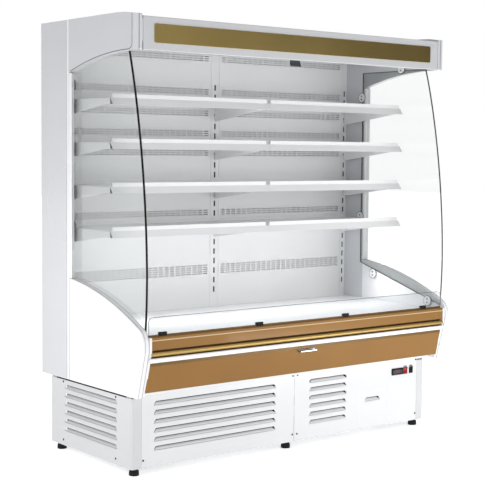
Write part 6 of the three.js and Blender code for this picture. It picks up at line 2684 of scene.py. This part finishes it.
@dataclass
class NightBlind:
    """Roll-down night blind: cassette, spring roller, cloth and pull bar with its grip."""

    cloth_y: float = -267.0
    roller_y: float = -247.565
    axis_z: float = 1936.0
    tube: float = 26.0
    tube_wall: float = 2.5
    drum: float = 19.0
    pin: float = 4.0
    half: float = 880.0
    bar_top: float = 1902.0
    bar_size: Point2 = (11.0, 12.0)
    grip_x: float = 30.0
    grip_width: float = 62.0

    def cassette(self) -> Mesh:
        """Tube with a mouth below and in front.

        Returns:
            The mesh.
        """
        inner = self.tube - self.tube_wall
        mouth = math.pi + math.acos((self.roller_y - self.cloth_y) / (self.tube - self.tube_wall / 2))
        gape = 7.0 / self.tube
        steps = 36
        span = math.tau - 2 * gape
        angles = [mouth + gape + span * i / steps for i in range(steps + 1)]
        y, z = self.roller_y, self.axis_z
        outer = [(y + self.tube * math.cos(a), z + self.tube * math.sin(a)) for a in angles]
        bore = [(y + inner * math.cos(a), z + inner * math.sin(a)) for a in angles[::-1]]
        return prism([*outer, *bore], Axis.X, -P.inner + 3.4, P.inner - 3.4)

    def cheeks(self) -> Mesh:
        """Moulded end cheeks that hold the roller's pins.

        Returns:
            The mesh.
        """
        shells = []
        for side in Side:
            x = side.value * (P.inner - P.seat - 1.5)
            bm = turned(
                [(self.pin + 0.5, -1.5), (self.tube - 1, -1.5), (self.tube - 1, 1.5), (self.pin + 0.5, 1.5),
                 (self.pin + 0.5, -1.5)],
                (x, self.roller_y, self.axis_z), Axis.X, 40,
            )
            shells.append(bm)
        return together(shells)

    def roll(self) -> Mesh:
        """Rolled cloth on its drum, with the turns showing at the ends.

        Returns:
            The mesh.
        """
        profile = [(0, -self.half)]
        radius = 8.0
        while radius < self.drum - 0.8:
            profile += [
                (radius, -self.half + 0.9), (radius + 0.5, -self.half + 0.1),
                (radius + 1.0, -self.half + 0.9),
            ]
            radius += 1.1
        profile += [(self.drum - 0.3, -self.half), (self.drum - 0.3, self.half)]
        profile += [(r, -h) for r, h in profile[-3:0:-1]] + [(0, self.half)]
        return turned(profile, (0, self.roller_y, self.axis_z), Axis.X, 32)

    def cloth(self) -> Mesh:
        """Free end of the cloth, from the roller to the pull bar.

        Returns:
            The mesh, an open sheet with a wall.
        """
        bm = bmesh.new()
        ops.create_grid(bm, x_segments=44, y_segments=12, size=0.5)
        low, high = self.bar_top - 1.0, self.axis_z
        for vert in bm.verts:
            x, z = vert.co.x * 2 * (self.half - 2), low + (vert.co.y + 0.5) * (high - low)
            vert.co = Vector((x, self.cloth_y, z))
        thicken(bm, 0.4)
        return bm

    def bar(self) -> Mesh:
        """Extruded pull bar.

        Returns:
            The mesh.
        """
        d = self.bar_size[0] / 2
        outline = rounded(
            self.cloth_y - d, self.cloth_y + d, self.bar_top - self.bar_size[1], self.bar_top, 3.3, 6,
        )
        bm = prism(outline, Axis.X, -self.half + 3, self.half - 3)
        return soften(bm, 0.5, 2, 60)

    def bar_caps(self) -> Mesh:
        """Moulded caps of the pull bar.

        Returns:
            The mesh.
        """
        d = self.bar_size[0] / 2
        shells = []
        for side in Side:
            lo, hi = side_span(side, self.half - 3.2, self.half)
            outline = rounded(
                self.cloth_y - d - 0.3, self.cloth_y + d + 0.3, self.bar_top - self.bar_size[1] - 0.3,
                self.bar_top + 0.1, 3.5, 6,
            )
            shells.append(soften(prism(outline, Axis.X, lo, hi), 0.6, 2, 60))
        return together(shells)

    def grip(self) -> Mesh:
        """Moulded finger grip under the bar.

        Returns:
            The mesh.
        """
        y, z = self.cloth_y, self.bar_top - self.bar_size[1]
        half = self.grip_width / 2
        bm = prism([
            (y - 2, z + 2), (y - 2.4, z - 12), (y - 9, z - 24), (y - 8.6, z - 27), (y - 6, z - 28),
            (y + 1.6, z - 22), (y + 3, z - 14), (y + 3, z + 2),
        ], Axis.X, self.grip_x - half, self.grip_x + half)
        return soften(bm, 1.1, 3, 25)

    def build(self, bench: Bench) -> None:
        """Makes the blind's pieces."""
        bench.piece("cassette_tube", self.cassette(), INNER_WHITE, replaces=["blind_cassette"])
        bench.piece("cassette_cheeks", self.cheeks(), INNER_WHITE)
        bench.piece("blind_roll", self.roll(), CLOTH, body="blind_roller", replaces=["blind_roller"])
        pins = rod(Axis.X, (0, self.roller_y, self.axis_z), self.pin, 2 * (P.inner - 1.9), 16)
        bench.piece("blind_roller_pins", pins, ZINC, body="blind_roller")
        cloth = bench.piece("blind_cloth", self.cloth(), CLOTH, body=None, replaces=["blind_fabric"])
        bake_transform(cloth)
        bar = bench.piece("pull_bar", self.bar(), ALUMINIUM, body="night_blind", replaces=["blind_pull_bar"])
        caps = bench.piece("pull_bar_caps", self.bar_caps(), SEAL_GREY, body="night_blind")
        grip = bench.piece("pull_bar_grip", self.grip(), SEAL_GREY, body="night_blind")


# ---------------------------------------- studio


@dataclass(frozen=True)
class SoftLight:
    """Rectangular soft light: its place, its aim, its size in metres and its power in watts."""

    name: str
    place: Point3
    aim: Point3
    size: Point2
    power: float

    def hang(self) -> None:
        """Hangs the light, hidden from the camera and from rays through glass."""
        data = bpy.data.lights.new(self.name, "AREA")
        data.shape = "RECTANGLE"
        data.size, data.size_y = self.size
        data.energy = self.power
        obj = bpy.data.objects.new(self.name, data)
        obj.location = self.place
        obj.rotation_euler = (Vector(self.aim) - Vector(self.place)).to_track_quat("-Z", "Y").to_euler()
        obj.visible_camera = False
        obj.visible_transmission = False
        bpy.context.scene.collection.objects.link(obj)


LIGHTS = (
    SoftLight("front_fill", (1.7, -3.4, 1.3), (0.7, -0.4, 0.8), (2.6, 1.2), 11.0),
    SoftLight("over_strip", (1.6, -2.2, 3.4), (0.3, -0.4, 0.7), (2.6, 0.08), 5.0),
    SoftLight("right_low", (1.1, -1.8, 0.2), (0.5, -0.3, 0.25), (0.9, 0.28), 8.5),
    SoftLight("low_left", (-3.8, -0.3, 0.6), (-0.96, 0.1, 0.65), (2.2, 0.8), 15.0),
    SoftLight("near_left", (-1.95, -0.1, 0.9), (-0.96, 0.0, 0.72), (1.0, 0.35), 3.0),
    SoftLight("shelf_fill", (0.0, -0.10, 1.50), (0.0, 0.33, 1.50), (1.7, 0.75), 1.8),
    SoftLight("deck_fill", (0.0, 0.0, 0.86), (0.0, -0.10, 0.65), (1.8, 0.15), 3.8),
    SoftLight("under_fill", (0.0, -0.52, 0.80), (0.0, -0.2, 1.7), (1.75, 0.2), 0.8),
    SoftLight("across", (-1.7, -2.9, 1.35), (0.7, 0.1, 1.2), (1.1, 1.1), 12.5),
)


@dataclass
class Studio:
    """Plain floor, soft light and the photograph's camera."""

    eye: Point3 = (-3.9134, -4.8668, 1.4516)
    yaw: float = -38.30
    pitch: float = -4.21
    roll: float = 0.50
    lens: float = 92.24
    sensor: float = 36.0
    sky: float = 0.43
    zenith: float = 0.6
    zenith_band: Point2 = (0.72, 0.95)
    dim_sky: float = 0.04
    dim_heading: float = 58.0
    dim_reach: float = 28.0
    dim_core: float = 8.0

    def floor(self, bench: Bench) -> None:
        """Pale seamless floor.

        Args:
            bench: The bench, for its paint.
        """
        bm = bmesh.new()
        ops.create_grid(bm, x_segments=1, y_segments=1, size=30.0)
        mesh = bpy.data.meshes.new("studio_floor")
        bm.to_mesh(mesh)
        bm.free()
        mesh.materials.append(bench.paint.material(FLOOR))
        obj = bpy.data.objects.new("studio_floor", mesh)
        bpy.context.scene.collection.objects.link(obj)

    def camera(self) -> None:
        """Camera solved from the photograph's straight edges."""
        yaw, pitch, roll = (math.radians(a) for a in (self.yaw, self.pitch, self.roll))
        ahead = Vector((-math.sin(yaw) * math.cos(pitch), math.cos(yaw) * math.cos(pitch), math.sin(pitch)))
        right = Vector((math.cos(yaw), math.sin(yaw), 0.0))
        up = right.cross(ahead)
        across = right * math.cos(roll) + up * math.sin(roll)
        over = up * math.cos(roll) - right * math.sin(roll)
        data = bpy.data.cameras.new("photo_camera")
        data.lens = self.lens
        data.sensor_width = self.sensor
        data.sensor_height = self.sensor
        data.sensor_fit = "HORIZONTAL"
        data.clip_end = 100.0
        obj = bpy.data.objects.new("photo_camera", data)
        turn = Matrix((across, over, -ahead)).transposed().to_4x4()
        obj.matrix_world = Matrix.Translation(self.eye) @ turn
        bpy.context.scene.collection.objects.link(obj)
        bpy.context.scene.camera = obj

    def sky_dome(self) -> bpy.types.World:
        """Even white surroundings, dimmer to the right of the front, and plain white behind.

        Returns:
            The world.
        """
        world = bpy.data.worlds.new("studio_world")
        world.use_nodes = True
        tree = world.node_tree
        background = tree.nodes["Background"]
        background.inputs["Color"].default_value = (1.0, 1.0, 1.0, 1.0)
        heading = math.radians(self.dim_heading)
        front = (math.sin(heading), -math.cos(heading), 0.0)
        place = add_node(tree, "ShaderNodeTexCoord")
        toward = add_node(tree, "ShaderNodeVectorMath", {1: front}, operation="DOT_PRODUCT")
        dim = add_node(tree, "ShaderNodeMapRange", {
            "From Min": math.cos(math.radians(self.dim_reach)), "To Min": self.sky,
            "From Max": math.cos(math.radians(self.dim_core)), "To Max": self.dim_sky,
        })
        ray = add_node(tree, "ShaderNodeLightPath")
        seen = add_node(tree, "ShaderNodeMath", operation="MAXIMUM")
        level = add_node(tree, "ShaderNodeMix", {"B": 1.0})
        upward = add_node(tree, "ShaderNodeSeparateXYZ")
        over = add_node(tree, "ShaderNodeMapRange", {
            "From Min": self.zenith_band[0], "From Max": self.zenith_band[1],
            "To Min": 0.0, "To Max": self.zenith,
        })
        glow = add_node(tree, "ShaderNodeMath", operation="ADD")
        wire(
            tree, (place, "Generated", upward, "Vector"), (upward, "Z", over, "Value"),
            (dim, "Result", glow, 0), (over, "Result", glow, 1), (place, "Generated", toward, 0),
            (toward, "Value", dim, "Value"), (ray, "Is Camera Ray", seen, 0),
            (ray, "Is Transmission Ray", seen, 1), (seen, "Value", level, "Factor"),
            (glow, "Value", level, "A"), (level, "Result", background, "Strength"),
        )
        return world

    def build(self, bench: Bench) -> None:
        """Sets the stage."""
        self.floor(bench)
        bpy.context.scene.world = self.sky_dome()
        bpy.context.scene.view_settings.view_transform = "Standard"
        for light in LIGHTS:
            light.hang()
        self.camera()
        log.info("studio is set")


def main() -> None:
    """Dresses the frame, sub-assembly by sub-assembly."""
    logging.basicConfig(level=logging.INFO, format="%(name)s: %(message)s")
    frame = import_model()
    bench = Bench()
    for side in Side:
        for part in (SideWall(side), LowerSidePanel(side), EndCap(side), SideGlass(side), DeckPan(side)):
            part.build(bench)
    for part in (Canopy(), Ceiling(), BackWall(), GoldFront(), Riser(), BaseCladding(), CondensateTray(),
                 Controls(), Feet(), NightBlind()):
        part.build(bench)
    for side in Side:
        for level in range(4):
            Shelf(side, level).build(bench)
    FinnedCoil("condenser", "condenser_coil", (-400.0, -200.0, 78.3), 330.0, 60.0, 220.0, 60).build(bench)
    FinnedCoil(
        "evaporator", "evaporator_coil", (0.0, 60.0, 418.3), 1400.0, 200.0, 170.0, 90, (4, 4),
    ).build(bench)
    Fan("condenser_fan", "condenser_fan", (-400.0, -145.0, 188.3), 98.0, 1, 78.3).build(bench)
    for side in Side:
        name = f"evaporator_fan_{side.word}"
        Fan(name, name, (side.value * 350.0, -70.0, 503.3), 74.0, -1, 418.3).build(bench)
    Compressor().build(bench)
    bench.dress(frame["nodes"], "insulated_body", FOAM_SHELL)
    bench.dress(frame["nodes"], "base_frame", ZINC)
    Studio().build(bench)
    log.info("%d pieces made", bench.count)


if __name__ == "__main__":
    main()
